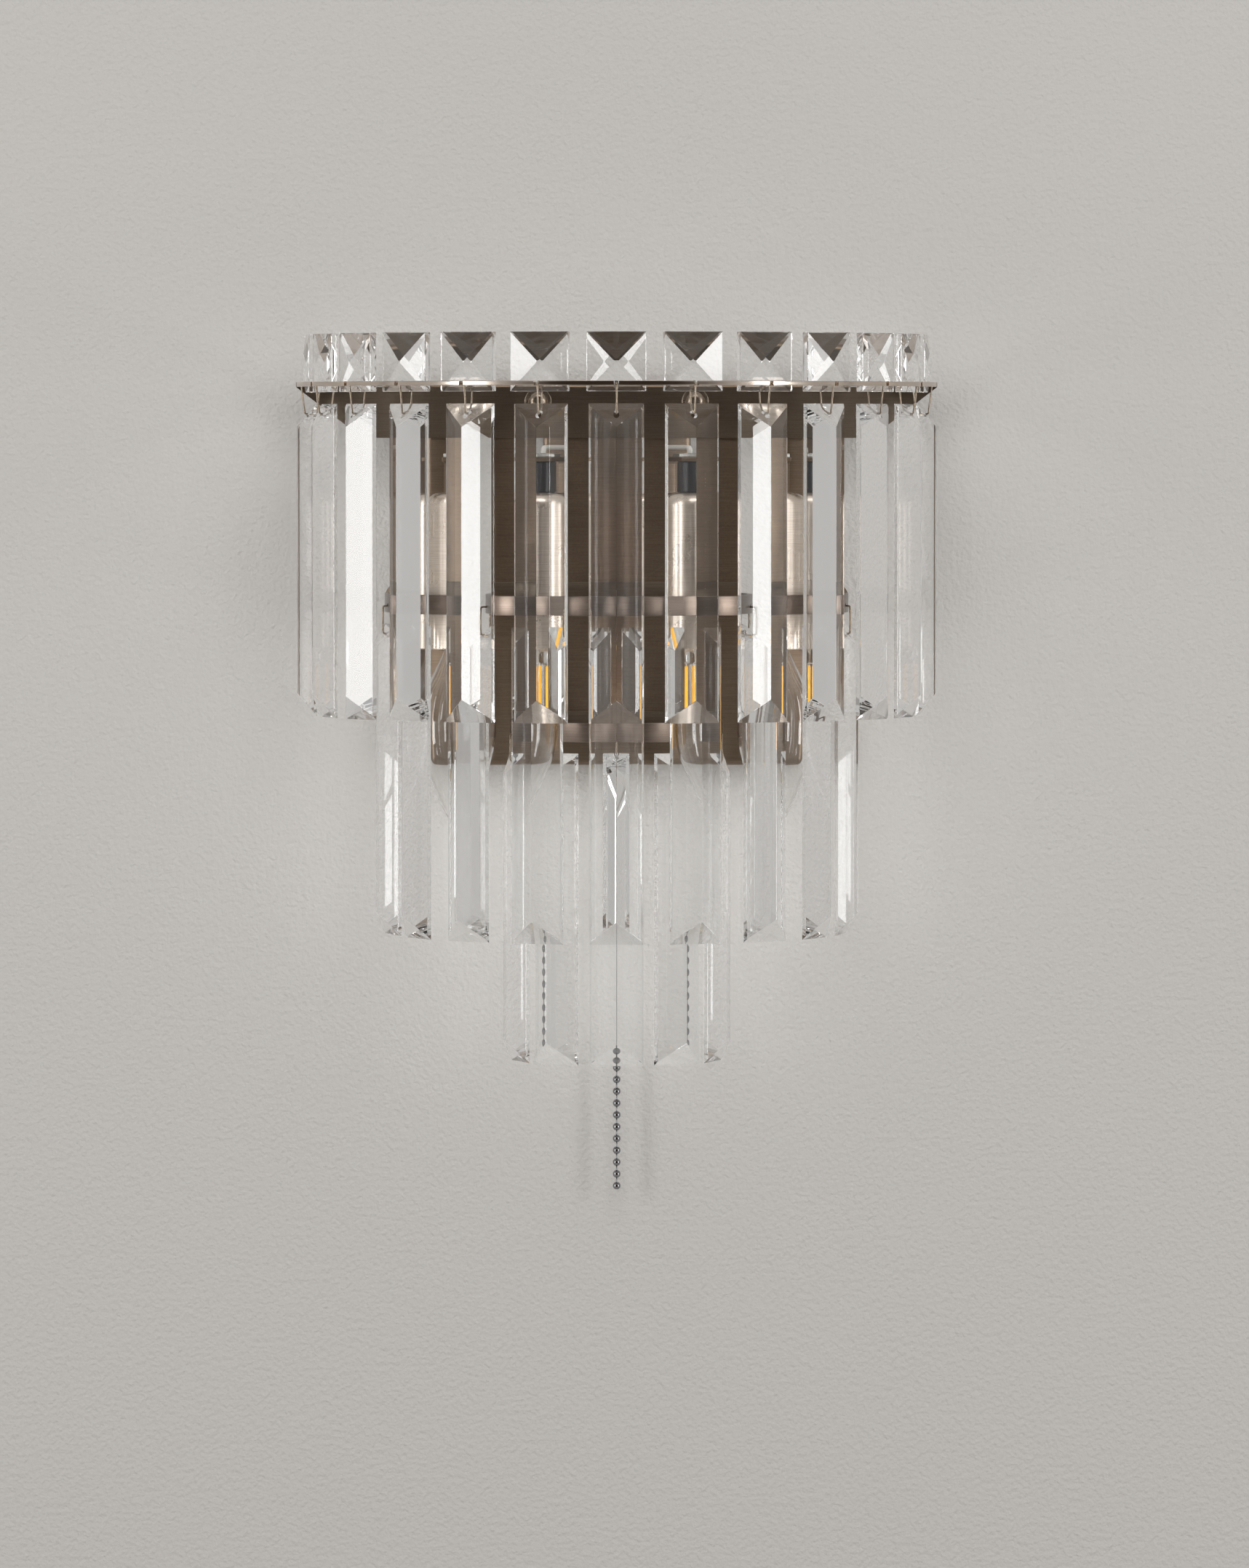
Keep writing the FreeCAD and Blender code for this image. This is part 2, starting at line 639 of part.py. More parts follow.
def slotted_screw(name, x, head_y, z, reach):
    """A round-headed screw that points back from the face it clamps."""
    head = cylinder(f"{name}_head", dim.screw_head, dim.screw_head_height, x, head_y, z, FRONT)
    middle = (head_y - dim.screw_head_height / 2).value
    crown = rounded(
        f"{name}_crown", head, dim.screw_head_height / 2,
        lambda e: len(e.Vertexes) == 1 and e.CenterOfMass.y < middle,
    )
    shank = cylinder(f"{name}_shank", dim.screw_diameter, reach, x, head_y, z, BACK)
    half = dim.screw_head / 2 + MARGIN
    face = head_y - dim.screw_head_height
    groove = block(
        f"{name}_groove",
        (as_size(x) - half, face - MARGIN, z - dim.screw_slot / 2),
        (as_size(x) + half, face + dim.screw_slot, z + dim.screw_slot / 2),
    )
    return cut(name, fuse(f"{name}_blank", [crown, shank]), [groove])


def pan_screws():
    """The screws in the pan: one through each back strip and one through each arm's tab."""
    reach = dim.strip_thick + dim.pan_wall + dim.screw_reach
    screws = [
        slotted_screw("mid_screw", 0, STRIP_FRONT, MID_SCREW_Z, reach),
        slotted_screw("low_screw", 0, STRIP_FRONT, LOW_SCREW_Z, reach),
    ]
    for side, name in ((-1, "left"), (1, "right")):
        screws.append(
            slotted_screw(f"arm_screw_{name}", dim.lamp_spacing / 2 * side,
                          PAN_FRONT - dim.arm_thick, ARM_SCREW_Z, reach)
        )
    doc.recompute()
    return sub_part(group("pan_screws", [s.Shape.copy() for s in screws]), "pan_screws")


tier_band("mid_tier_band", dim.mid_radius, dim.mid_band_top, dim.mid_count, dim.mid_step)
tier_strip("mid_tier_strip", dim.mid_radius, MID_STRIP_TOP, dim.mid_strip_height)
tier_band("low_tier_band", dim.low_radius, dim.low_band_top, dim.low_count, dim.low_step)
tier_strip("low_tier_strip", dim.low_radius, LOW_STRIP_TOP, dim.low_strip_height)
pan_screws()

# ---------------------------------------------------------------- wire loops and prisms


def prism(label, angle, hang_ring, wire_level):
    """One long prism, its ridge facing outward, hung on the wire at wire_level."""
    body = doc.addObject("PartDesign::Body", label)
    half = dim.prism_width / 2
    shoulder = half - dim.prism_shoulder
    section = (
        (-half, 0), (half, 0), (shoulder, -dim.prism_edge), (0, -dim.prism_depth),
        (-shoulder, -dim.prism_edge),
    )
    outline = polygon(body, f"{label}_section", "XY_Plane", [section])
    pad(body, f"{label}_bar", outline, dim.prism_length, reverse=True)
    depth, bevel, length = dim.prism_depth, dim.prism_bevel, dim.prism_length
    upper = ((depth / 2, bevel / 2), (-depth * 2, -bevel * 2), (-depth * 2, bevel / 2))
    lower = (
        (depth / 2, -length - bevel / 2),
        (-depth * 2, -length - bevel / 2),
        (-depth * 2, -length + bevel * 2),
    )
    bevels = polygon(body, f"{label}_bevels", "YZ_Plane", [upper, lower])
    pocket(body, f"{label}_ends", bevels, dim.prism_width + MARGIN * 2)
    ring = circle_sketch(body, f"{label}_ring", "XZ_Plane", 0, -dim.prism_hole_drop,
                         dim.prism_hole)
    pocket(body, f"{label}_hole", ring, dim.prism_depth * 2 + MARGIN * 2)
    hole_level = wire_level - dim.prism_hole / 2 + dim.wire_diameter / 2 + dim.hang_gap
    back = hang_ring - dim.prism_depth * dim.prism_hole_drop / dim.prism_bevel / 2
    top = hole_level + dim.prism_hole_drop
    body.Placement = at_station(angle, 0, back.value, top.value)
    return sub_part(body, label)


def wire_loop(upper_width, lower_width, drop):
    """A closed wire loop in the plane that stands outward, about its upper wire's middle."""
    corners = [
        Vector(0, -upper_width / 2, 0), Vector(0, upper_width / 2, 0),
        Vector(0, lower_width / 2, -drop), Vector(0, -lower_width / 2, -drop),
    ]
    bend = dim.wire_bend.value
    edges = []
    ends = []
    for n, corner in enumerate(corners):
        before = (corners[n - 1] - corner).normalize()
        after = (corners[(n + 1) % 4] - corner).normalize()
        turn = math.pi - before.getAngle(after)
        inset = bend * math.tan(turn / 2)
        middle = (before + after).normalize()
        depth = bend / math.cos(turn / 2) - bend
        arc_start = corner + before * inset
        arc_end = corner + after * inset
        edges.append(Part.Arc(arc_start, corner + middle * depth, arc_end).toShape())
        ends.append((arc_start, arc_end))
    for n in range(4):
        edges.append(Part.LineSegment(ends[n][1], ends[(n + 1) % 4][0]).toShape())
    path = Part.Wire(Part.__sortEdges__(edges))
    start = path.Edges[0].Vertexes[0].Point
    direction = path.Edges[0].tangentAt(path.Edges[0].FirstParameter)
    ring = Part.Circle(start, direction, dim.wire_diameter.value / 2).toShape()
    return path.makePipeShell([Part.Wire([ring])], True, True)


def tier_hangers(tier, count, step, ring, wire_top, upper_width, drop):
    """A prism at each station of one tier, and the wire loops that they hang on."""
    loops = []
    for n, angle in enumerate(station_angles(count, step), start=1):
        loop = wire_loop(upper_width.value, dim.loop_width_bottom.value, drop.value)
        loop.Placement = at_station(angle, 0, ring.value, wire_top.value)
        loops.append(loop)
        prism(f"{tier}_prism_{n:02d}", angle, ring, wire_top - drop)
    return loops


def band_wire_level(band_top):
    """The level of a loop's upper wire, which rests in the bottom of its band hole."""
    sag = dim.band_hole / 2 - dim.wire_diameter / 2 - dim.hang_gap
    return -band_top - dim.band_hole_drop - sag


wire_loops = [
    *tier_hangers("top", dim.top_count, dim.top_step, SQUARE_RING, LOOP_TOP_Z,
                  dim.loop_width_top, dim.top_loop_drop),
    *tier_hangers("mid", dim.mid_count, dim.mid_step, dim.mid_radius - dim.band_thick / 2,
                  band_wire_level(dim.mid_band_top), dim.loop_width_bottom, dim.band_loop_drop),
    *tier_hangers("low", dim.low_count, dim.low_step, dim.low_radius - dim.band_thick / 2,
                  band_wire_level(dim.low_band_top), dim.loop_width_bottom, dim.band_loop_drop),
]
sub_part(group("wire_loops", wire_loops), "wire_loops")

# ---------------------------------------------------------------- lamp arms and holders

ARM_LOW = -dim.arm_level - dim.arm_thick
NECK_LOW = ARM_LOW - dim.neck_length
CUP_LOW = NECK_LOW - dim.cup_length
SOCKET_TOP = NECK_LOW - dim.cup_wall
SOCKET_LOW = SOCKET_TOP - dim.socket_length
CAP_LOW = SOCKET_LOW - dim.socket_lip
NIPPLE_HOLE = dim.nipple_diameter + dim.nipple_clearance * 2
NIPPLE_TOP = -dim.arm_level + dim.nipple_rise
NIPPLE_LOW = NECK_LOW - dim.nipple_dip


def lamp_arm(name, x):
    """An L-shaped strap: its tab is screwed to the pan and its nose carries the lamp."""
    half = dim.arm_width / 2
    front = PAN_FRONT - dim.arm_thick
    strap = block(
        f"{name}_strap",
        (x - half, LAMP_Y - dim.arm_nose, ARM_LOW), (x + half, PAN_FRONT, -dim.arm_level),
    )
    tab = block(
        f"{name}_tab",
        (x - half, front, -dim.arm_level - dim.arm_tab), (x + half, PAN_FRONT, ARM_LOW),
    )
    reach = dim.arm_thick + MARGIN * 2
    holes = [
        cylinder(f"{name}_nipple_hole", NIPPLE_HOLE, reach, x, LAMP_Y, ARM_LOW - MARGIN),
        cylinder(f"{name}_screw_hole", SCREW_HOLE, reach, x, PAN_FRONT + MARGIN,
                 ARM_SCREW_Z, FRONT),
    ]
    return cut(name, fuse(f"{name}_blank", [strap, tab]), holes)


def lamp_neck(name, x):
    """The black spacer tube between the arm and the cup."""
    tube = cylinder(f"{name}_tube", dim.neck_diameter, dim.neck_length, x, LAMP_Y, NECK_LOW)
    bore = cylinder(f"{name}_bore", NIPPLE_HOLE, dim.neck_length + MARGIN * 2, x, LAMP_Y,
                    NECK_LOW - MARGIN)
    return cut(name, tube, [bore])


def lamp_nipple(name, x):
    """The hollow threaded tube that holds arm, neck, cup and socket together."""
    length = NIPPLE_TOP - NIPPLE_LOW
    tube = cylinder(f"{name}_tube", dim.nipple_diameter, length, x, LAMP_Y, NIPPLE_LOW)
    bore = cylinder(f"{name}_bore", dim.nipple_bore, length + MARGIN * 2, x, LAMP_Y,
                    NIPPLE_LOW - MARGIN)
    return cut(name, tube, [bore])


def ring_nut(name, x):
    """The nut on top of each arm."""
    ring = cylinder(f"{name}_ring", dim.ring_nut_diameter, dim.ring_nut_thick, x, LAMP_Y,
                    -dim.arm_level)
    bore = cylinder(f"{name}_bore", NIPPLE_HOLE, dim.ring_nut_thick + MARGIN * 2, x, LAMP_Y,
                    -dim.arm_level - MARGIN)
    return cut(name, ring, [bore])


def is_top_rim(level):
    """A test for the circular edge at one level."""
    return lambda e: len(e.Vertexes) == 1 and abs(e.CenterOfMass.z - level) < TOUCH


def lamp_cup(name, x):
    """The spun cup over the socket, with a rounded shoulder and an open mouth."""
    wall = dim.cup_wall
    outside = cylinder(f"{name}_outside", dim.cup_diameter, dim.cup_length, x, LAMP_Y, CUP_LOW)
    inside = cylinder(f"{name}_inside", dim.cup_diameter - wall * 2,
                      dim.cup_length - wall + MARGIN, x, LAMP_Y, CUP_LOW - MARGIN)
    shoulder = dim.cup_shoulder
    hole = cylinder(f"{name}_hole", NIPPLE_HOLE, wall * 3, x, LAMP_Y, NECK_LOW - wall * 2)
    skin = rounded(f"{name}_skin", outside, shoulder, is_top_rim(NECK_LOW.value))
    core = rounded(f"{name}_core", inside, shoulder - wall, is_top_rim(SOCKET_TOP.value))
    return cut(name, skin, [core, hole])


def lamp_socket(name, x):
    """The lamp holder, bored from below for the bulb's cap and from above for the nipple."""
    clear = dim.socket_clearance
    blank = cylinder(f"{name}_blank", dim.socket_diameter, dim.socket_length, x, LAMP_Y,
                     SOCKET_LOW)
    top_edge = rounded(f"{name}_edge", blank, dim.cup_shoulder - dim.cup_wall,
                       is_top_rim(SOCKET_TOP.value))
    cap_top = CAP_LOW + dim.cap_length
    cap_room = cylinder(f"{name}_cap_room", dim.cap_diameter + clear * 2,
                        cap_top - SOCKET_LOW + clear + MARGIN, x, LAMP_Y, SOCKET_LOW - MARGIN)
    contact_room = cylinder(f"{name}_contact_room", dim.contact_diameter + clear * 2,
                            dim.contact_length + clear * 2, x, LAMP_Y, cap_top)
    seat_depth = SOCKET_TOP - NIPPLE_LOW + MARGIN
    seat = cylinder(f"{name}_nipple_seat", NIPPLE_HOLE, seat_depth + MARGIN, x, LAMP_Y,
                    NIPPLE_LOW - MARGIN)
    return cut(name, top_edge, [cap_room, contact_room, seat])


for piece_name, make_piece in (
    ("lamp_arms", lamp_arm), ("lamp_necks", lamp_neck), ("lamp_nipples", lamp_nipple),
    ("arm_ring_nuts", ring_nut), ("lamp_cups", lamp_cup), ("lamp_sockets", lamp_socket),
):
    sub_part(pair(piece_name, make_piece), piece_name)

# ---------------------------------------------------------------- bulbs

GLASS_TOP = CAP_LOW + dim.glass_seat
CAP_TOP = CAP_LOW + dim.cap_length


def bulb_cap(name, x):
    """The screw cap, hollow for the glass, with its centre contact on top."""
    skin = cylinder(f"{name}_skin", dim.cap_diameter, dim.cap_length, x, LAMP_Y, CAP_LOW)
    room = cylinder(f"{name}_room", dim.cap_diameter - dim.cap_skin * 2,
                    dim.cap_length - dim.cap_skin + MARGIN, x, LAMP_Y, CAP_LOW - MARGIN)
    contact = cylinder(f"{name}_contact", dim.contact_diameter, dim.contact_length, x, LAMP_Y,
                       CAP_TOP)
    return fuse(name, [cut(f"{name}_shell", skin, [room]), contact])


# Radius as a share of the widest radius, at a share of the way down from the neck to the tip.
CANDLE_OUTLINE = ((0.16, 0.56), (0.28, 0.86), (0.43, 1.0), (0.6, 0.93), (0.78, 0.62), (0.93, 0.26))


def candle(narrower, length):
    """A solid candle shape below its seat, drawn in by its wall."""
    neck = dim.glass_neck.value / 2 - narrower
    widest = dim.glass_diameter.value / 2
    points = [Vector(neck, 0, -dim.glass_seat.value - 1)]
    for down, wide in CANDLE_OUTLINE:
        points.append(Vector(widest * wide - narrower, 0, -length * down))
    points.append(Vector(0, 0, -length + narrower))
    start = Vector(neck, 0, 0)
    side = Part.BSplineCurve()
    tangents = [Vector(0, 0, -1), Vector(-1, 0, 0)]
    side.interpolate(Points=points, InitialTangent=tangents[0], FinalTangent=tangents[1])
    edges = [
        Part.LineSegment(Vector(0, 0, 0), start).toShape(),
        Part.LineSegment(start, points[0]).toShape(),
        side.toShape(),
        Part.LineSegment(points[-1], Vector(0, 0, 0)).toShape(),
    ]
    face = Part.Face(Part.Wire(edges))
    return face.revolve(Vector(0, 0, 0), Vector(0, 0, 1), 360)


def bulb_glass(name, x):
    """The blown candle glass, thin all over and open where the cap closes it."""
    length = dim.glass_length.value
    outside = candle(0, length)
    inside = candle(dim.glass_wall.value, length)
    opener = Part.makeCylinder(dim.glass_neck.value / 2 - dim.glass_wall.value, 1,
                               Vector(0, 0, -0.5))
    glass = doc.addObject("Part::Feature", name)
    glass.Shape = outside.cut(inside).cut(opener)
    glass.Placement = Placement(Vector(x.value, LAMP_Y.value, GLASS_TOP.value), UP)
    return glass


def filaments(name, x):
    """A glass stem on the cap's bridge, and four straight filaments between two plates."""
    ring = dim.filament_ring.value
    thick = dim.stem_collar.value
    plate = ring + dim.filament_diameter.value
    bridge = dim.glass_neck.value / 2 - dim.glass_wall.value * 1.25
    upper = -dim.stem_length.value - thick
    lower = upper - dim.filament_length.value - thick
    pieces = [
        Part.makeCylinder(dim.stem_diameter.value / 2, dim.stem_length.value + thick / 2,
                          Vector(0, 0, upper + thick / 2)),
        Part.makeCylinder(plate, thick, Vector(0, 0, upper)),
        Part.makeCylinder(plate, thick, Vector(0, 0, lower)),
    ]
    for quarter in range(4):
        turn = math.radians(45 + 90 * quarter)
        foot = Vector(ring * math.cos(turn), ring * math.sin(turn), lower + thick / 2)
        pieces.append(Part.makeCylinder(dim.filament_diameter.value / 2,
                                        dim.filament_length.value + thick, foot))
    lamp = doc.addObject("Part::Feature", name)
    lamp.Shape = Part.makeCylinder(bridge, thick, Vector(0, 0, -thick)).multiFuse(pieces)
    lamp.Placement = Placement(Vector(x.value, LAMP_Y.value, GLASS_TOP.value), UP)
    return lamp


for side_name, side_sign in (("left", -1), ("right", 1)):
    lamp_x = dim.lamp_spacing / 2 * side_sign
    sub_part(bulb_cap(f"bulb_cap_{side_name}", lamp_x), f"bulb_cap_{side_name}")
    sub_part(bulb_glass(f"bulb_glass_{side_name}", lamp_x), f"bulb_glass_{side_name}")
    sub_part(filaments(f"bulb_filaments_{side_name}", lamp_x), f"bulb_filaments_{side_name}")

# ---------------------------------------------------------------- pull switch and chain

PAN_FLOOR = -dim.pan_bottom
SWITCH_LOW = PAN_FLOOR + dim.pan_wall
PLUNGER_BORE = dim.plunger_diameter + dim.plunger_clearance * 2


def switch_body():
    """The pull switch: a case on the pan's floor, its bushing through it, bored right down."""
    half = dim.switch_width / 2
    case = block("switch_case", (-half, CHAIN_Y - half, SWITCH_LOW),
                 (half, CHAIN_Y + half, SWITCH_LOW + dim.switch_height))
    bushing = cylinder("switch_bushing", dim.bushing_diameter,
                       dim.pan_wall + dim.bushing_length, 0, CHAIN_Y, SWITCH_LOW, DOWN)
    bore = cylinder("switch_bore", PLUNGER_BORE, dim.switch_height, 0, CHAIN_Y,
                    PAN_FLOOR - dim.bushing_length - MARGIN)
    head_room = cylinder(
        "switch_head_room", dim.plunger_head + dim.plunger_clearance * 2,
        dim.plunger_head_height + dim.plunger_travel + dim.plunger_clearance * 2, 0, CHAIN_Y,
        PLUNGER_TOP - dim.plunger_head_height - dim.plunger_travel - dim.plunger_clearance,
    )
    return sub_part(cut("switch_body", fuse("switch_blank", [case, bushing]),
                        [bore, head_room]), "switch_body")


def switch_bell():
    """The brass bell nut on the bushing, which guides the chain."""
    collar = cylinder("bell_collar_disc", dim.bell_diameter, dim.bell_collar, 0, CHAIN_Y,
                      PAN_FLOOR, DOWN)
    skirt = cone("bell_skirt", dim.bell_diameter - dim.bell_collar / 2, dim.bell_mouth,
                 dim.bell_length, 0, CHAIN_Y, PAN_FLOOR, DOWN)
    seat = cylinder("bell_seat", BUSHING_HOLE,
                    dim.bushing_length + dim.bushing_clearance + MARGIN, 0, CHAIN_Y,
                    PAN_FLOOR + MARGIN, DOWN)
    bore = cylinder("bell_bore_hole", dim.bell_bore, dim.bell_length + MARGIN * 2, 0, CHAIN_Y,
                    PAN_FLOOR + MARGIN, DOWN)
    return sub_part(cut("switch_bell", fuse("bell_blank", [collar, skirt]), [seat, bore]),
                    "switch_bell")


def switch_plunger():
    """The pull rod, with a head inside the switch and the chain at its lower end."""
    rod_low = CHAIN_TOP + dim.link_gap
    rod = cylinder("plunger_rod", dim.plunger_diameter, PLUNGER_TOP - rod_low, 0, CHAIN_Y,
                   rod_low)
    head = cylinder("plunger_head_disc", dim.plunger_head, dim.plunger_head_height, 0,
                    CHAIN_Y, PLUNGER_TOP - dim.plunger_head_height)
    return sub_part(fuse("switch_plunger", [rod, head]), "switch_plunger")


def chain_beads():
    """The beads of the pull chain."""
    beads = []
    for n in range(int(dim.bead_count.value)):
        level = FIRST_BEAD.value - n * dim.bead_pitch.value
        beads.append(Part.makeSphere(dim.bead_diameter.value / 2,
                                     Vector(0, CHAIN_Y.value, level)))
    return sub_part(group("chain_beads", beads), "chain_beads")


def chain_links():
    """The short wires between the beads, cut to the beads' round sides."""
    radius = dim.bead_diameter.value / 2
    links = []
    for n in range(int(dim.bead_count.value)):
        lower = FIRST_BEAD.value - n * dim.bead_pitch.value
        upper = lower + dim.bead_pitch.value if n else CHAIN_TOP.value
        link = Part.makeCylinder(dim.link_diameter.value / 2, upper - lower,
                                 Vector(0, CHAIN_Y.value, lower))
        link = link.cut(Part.makeSphere(radius, Vector(0, CHAIN_Y.value, lower)))
        if n:
            link = link.cut(Part.makeSphere(radius, Vector(0, CHAIN_Y.value, upper)))
        links.append(link.Solids[0])
    return sub_part(group("chain_links", links), "chain_links")


switch_body()
switch_bell()
switch_plunger()
chain_beads()
chain_links()

# ---------------------------------------------------------------- wiring in the pan


def terminal_block():
    """The connector block on the pan's inner face, with a row of wire holes below."""
    half = dim.block_width / 2
    case = block(
        "block_case",
        (-half, PAN_INSIDE, -dim.block_top - dim.block_height),
        (half, PAN_INSIDE + dim.block_depth, -dim.block_top),
    )
    holes = []
    for n in range(3):
        hole_x = dim.block_width / 4 * (n - 1)
        holes.append(
            cylinder(f"block_hole{n}", dim.lead_diameter, dim.block_height / 3, hole_x,
                     PAN_INSIDE + dim.block_depth / 2, -dim.block_top - dim.block_height)
        )
    return sub_part(cut("terminal_block", case, holes), "terminal_block")


def rounded_path(points, radii):
    """Straight runs joined by tangent arcs, one radius for each inner point."""
    edges = []
    start = points[0]
    for n, radius in enumerate(radii, start=1):
        corner = points[n]
        before = (points[n - 1] - corner).normalize()
        after = (points[n + 1] - corner).normalize()
        turn = math.pi - before.getAngle(after)
        inset = radius * math.tan(turn / 2)
        middle = corner + (before + after).normalize() * (radius / math.cos(turn / 2) - radius)
        edges.append(Part.LineSegment(start, corner + before * inset).toShape())
        edges.append(Part.Arc(corner + before * inset, middle, corner + after * inset).toShape())
        start = corner + after * inset
    edges.append(Part.LineSegment(start, points[-1]).toShape())
    return Part.Wire(edges)


def lamp_leads():
    """A lead from each side of the block, out over the arm and down into the nipple."""
    lead_y = (PAN_INSIDE + dim.block_depth / 2).value
    block_z = (-dim.block_top - dim.block_height / 2).value
    level = LEAD_LEVEL.value
    lamp_x = (dim.lamp_spacing / 2).value
    run, climb = dim.lead_run.value, dim.lead_climb.value
    leads = []
    for side in (-1, 1):
        points = [
            Vector((dim.block_width / 2).value * side, lead_y, block_z),
            Vector(run * side, lead_y, block_z),
            Vector((run + climb) * side, lead_y + dim.lead_step.value, level),
            Vector(lamp_x * side, lead_y, level),
            Vector(lamp_x * side, LAMP_Y.value, level),
            Vector(lamp_x * side, LAMP_Y.value, NIPPLE_LOW.value),
        ]
        wide, bend, tight = dim.lead_bend_wide.value, dim.lead_bend.value, dim.lead_bend_tight.value
        radii = [wide, bend, tight, tight]
        path = rounded_path(points, radii)
        ring = Part.Circle(points[0], Vector(side, 0, 0), dim.lead_diameter.value / 2)
        lead = path.makePipeShell([Part.Wire([ring.toShape()])], True, False)
        section = math.pi * dim.lead_diameter.value ** 2 / 4
        print(f"lead: length {path.Length:.1f}, volume {lead.Volume:.1f} of "
              f"{section * path.Length:.1f}, bends {radii}")
        leads.append(lead)
    return sub_part(group("lamp_leads", leads), "lamp_leads")


def grommet(name, x):
    """The ring that guards a lead where it leaves the pan."""
    front = PAN_FRONT - dim.grommet_flange_thick
    barrel = cylinder(f"{name}_barrel", LEAD_HOLE, PAN_INSIDE - front, x, front,
                      LEAD_LEVEL, BACK)
    flange = cylinder(f"{name}_flange", LEAD_HOLE + dim.grommet_flange * 2,
                      dim.grommet_flange_thick, x, front, LEAD_LEVEL, BACK)
    bore = cylinder(f"{name}_bore", dim.lead_diameter + dim.lead_clearance * 2,
                    PAN_INSIDE - front + MARGIN * 2, x, front - MARGIN, LEAD_LEVEL, BACK)
    return cut(name, fuse(f"{name}_blank", [barrel, flange]), [bore])


terminal_block()
lamp_leads()
sub_part(pair("lead_grommets", grommet), "lead_grommets")

# ---------------------------------------------------------------- checks and export

doc.recompute()
for thing in doc.Objects:
    if "Invalid" in thing.State or "Error" in thing.State:
        raise RuntimeError(f"{thing.Label} did not build: {thing.State}")
labels = [thing.Label for thing in sub_parts]
if len(set(labels)) != len(labels):
    raise RuntimeError("two sub-parts share a label")
for thing in sub_parts:
    if thing.Shape.isNull() or not thing.Shape.isValid() or not thing.Shape.Solids:
        raise RuntimeError(f"{thing.Label} is not a valid solid")
for thing in sub_parts:
    thing.Shape.exportStep(os.path.join("parts", f"{thing.Label}.step"))
print(f"{len(sub_parts)} sub-parts written")
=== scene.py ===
# %% [markdown]
# # A crystal wall sconce
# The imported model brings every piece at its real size. This lesson dresses it: the camera and
# the lit wall first, then shared shader groups, then the metal, the glass, the lamps and the
# chain. Everything is in metres, with the wall in the plane y = 0 and the front towards -Y.

import bmesh
import bpy
import json
import math
import random
from mathutils import Matrix, Vector


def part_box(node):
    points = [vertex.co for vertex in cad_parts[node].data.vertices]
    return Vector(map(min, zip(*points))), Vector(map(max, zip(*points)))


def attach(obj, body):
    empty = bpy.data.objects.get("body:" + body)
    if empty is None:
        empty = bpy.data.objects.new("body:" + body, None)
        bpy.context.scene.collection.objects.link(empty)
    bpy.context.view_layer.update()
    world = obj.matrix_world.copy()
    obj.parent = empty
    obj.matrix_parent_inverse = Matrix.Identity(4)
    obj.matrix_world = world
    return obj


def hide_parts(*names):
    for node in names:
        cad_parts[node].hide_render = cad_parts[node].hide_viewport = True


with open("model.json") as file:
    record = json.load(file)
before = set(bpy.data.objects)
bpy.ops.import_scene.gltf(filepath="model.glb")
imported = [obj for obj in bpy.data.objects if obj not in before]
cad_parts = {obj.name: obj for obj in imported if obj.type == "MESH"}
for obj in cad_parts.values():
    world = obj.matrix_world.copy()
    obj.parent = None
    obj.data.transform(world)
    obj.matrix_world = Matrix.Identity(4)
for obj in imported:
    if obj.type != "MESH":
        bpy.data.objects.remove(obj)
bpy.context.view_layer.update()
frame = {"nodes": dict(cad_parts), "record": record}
nodes = frame["nodes"]
MM = 0.001

# %% [markdown]
# Small helpers that everything below uses: one makes an object, one aims it, and the others
# build and link the nodes of shaders.


# %% Helpers for objects and nodes
def add_object(name, data):
    """An object at the origin for some data, such as a mesh that already holds its place."""
    thing = bpy.data.objects.new(name, data)
    bpy.context.scene.collection.objects.link(thing)
    return thing


def aim(thing, target):
    """Turns a camera or a lamp towards a point."""
    thing.rotation_euler = (target - thing.location).to_track_quat("-Z", "Y").to_euler()


def new_material(name, **sockets):
    """A material with one Principled shader, whose plain sockets are set by name."""
    material = bpy.data.materials.new(name)
    material.use_nodes = True
    shader = material.node_tree.nodes["Principled BSDF"]
    for socket, value in sockets.items():
        shader.inputs[socket.replace("_", " ")].default_value = value
    return material, material.node_tree, shader


def add_node(tree, kind, **values):
    """A node of a tree; a value goes to the input of that name, or to the node itself."""
    node = tree.nodes.new(kind)
    for name, value in values.items():
        label = name.replace("_", " ")
        if label in node.inputs:
            node.inputs[label].default_value = value
        else:
            setattr(node, name, value)
    return node


def connect(tree, *links):
    """Links of a tree, each given as (node, its output, node, its input)."""
    for giver, output, taker, entry in links:
        tree.links.new(giver.outputs[output], taker.inputs[entry])


def calculate(tree, operation, *terms):
    """The result of a Math node, whose terms are numbers or outputs of other nodes."""
    node = add_node(tree, "ShaderNodeMath", operation=operation)
    for entry, term in zip(node.inputs, terms):
        if isinstance(term, bpy.types.NodeSocket):
            tree.links.new(term, entry)
        else:
            entry.default_value = term
    return node.outputs[0]


MIX_FIRST = 6
MIX_SECOND = 7
MIX_RESULT = 2


def colour_mix(tree, first=None, second=None):
    """A Mix node for two colours. Its colour sockets are known by their numbers."""
    node = add_node(tree, "ShaderNodeMix", data_type="RGBA")
    for entry, colour in ((MIX_FIRST, first), (MIX_SECOND, second)):
        if colour:
            node.inputs[entry].default_value = (*colour, 1)
    return node


def object_noise(tree, **values):
    """A noise texture in the object's own coordinates."""
    place = add_node(tree, "ShaderNodeTexCoord")
    noise = add_node(tree, "ShaderNodeTexNoise", **values)
    connect(tree, (place, "Object", noise, "Vector"))
    return noise


def add_relief(tree, shader, height, output, strength, distance):
    """Bumps a shader by a node's height output; the distance is in millimetres."""
    bump = add_node(tree, "ShaderNodeBump", Strength=strength, Distance=distance * MM)
    connect(tree, (height, output, bump, "Height"), (bump, "Normal", shader, "Normal"))


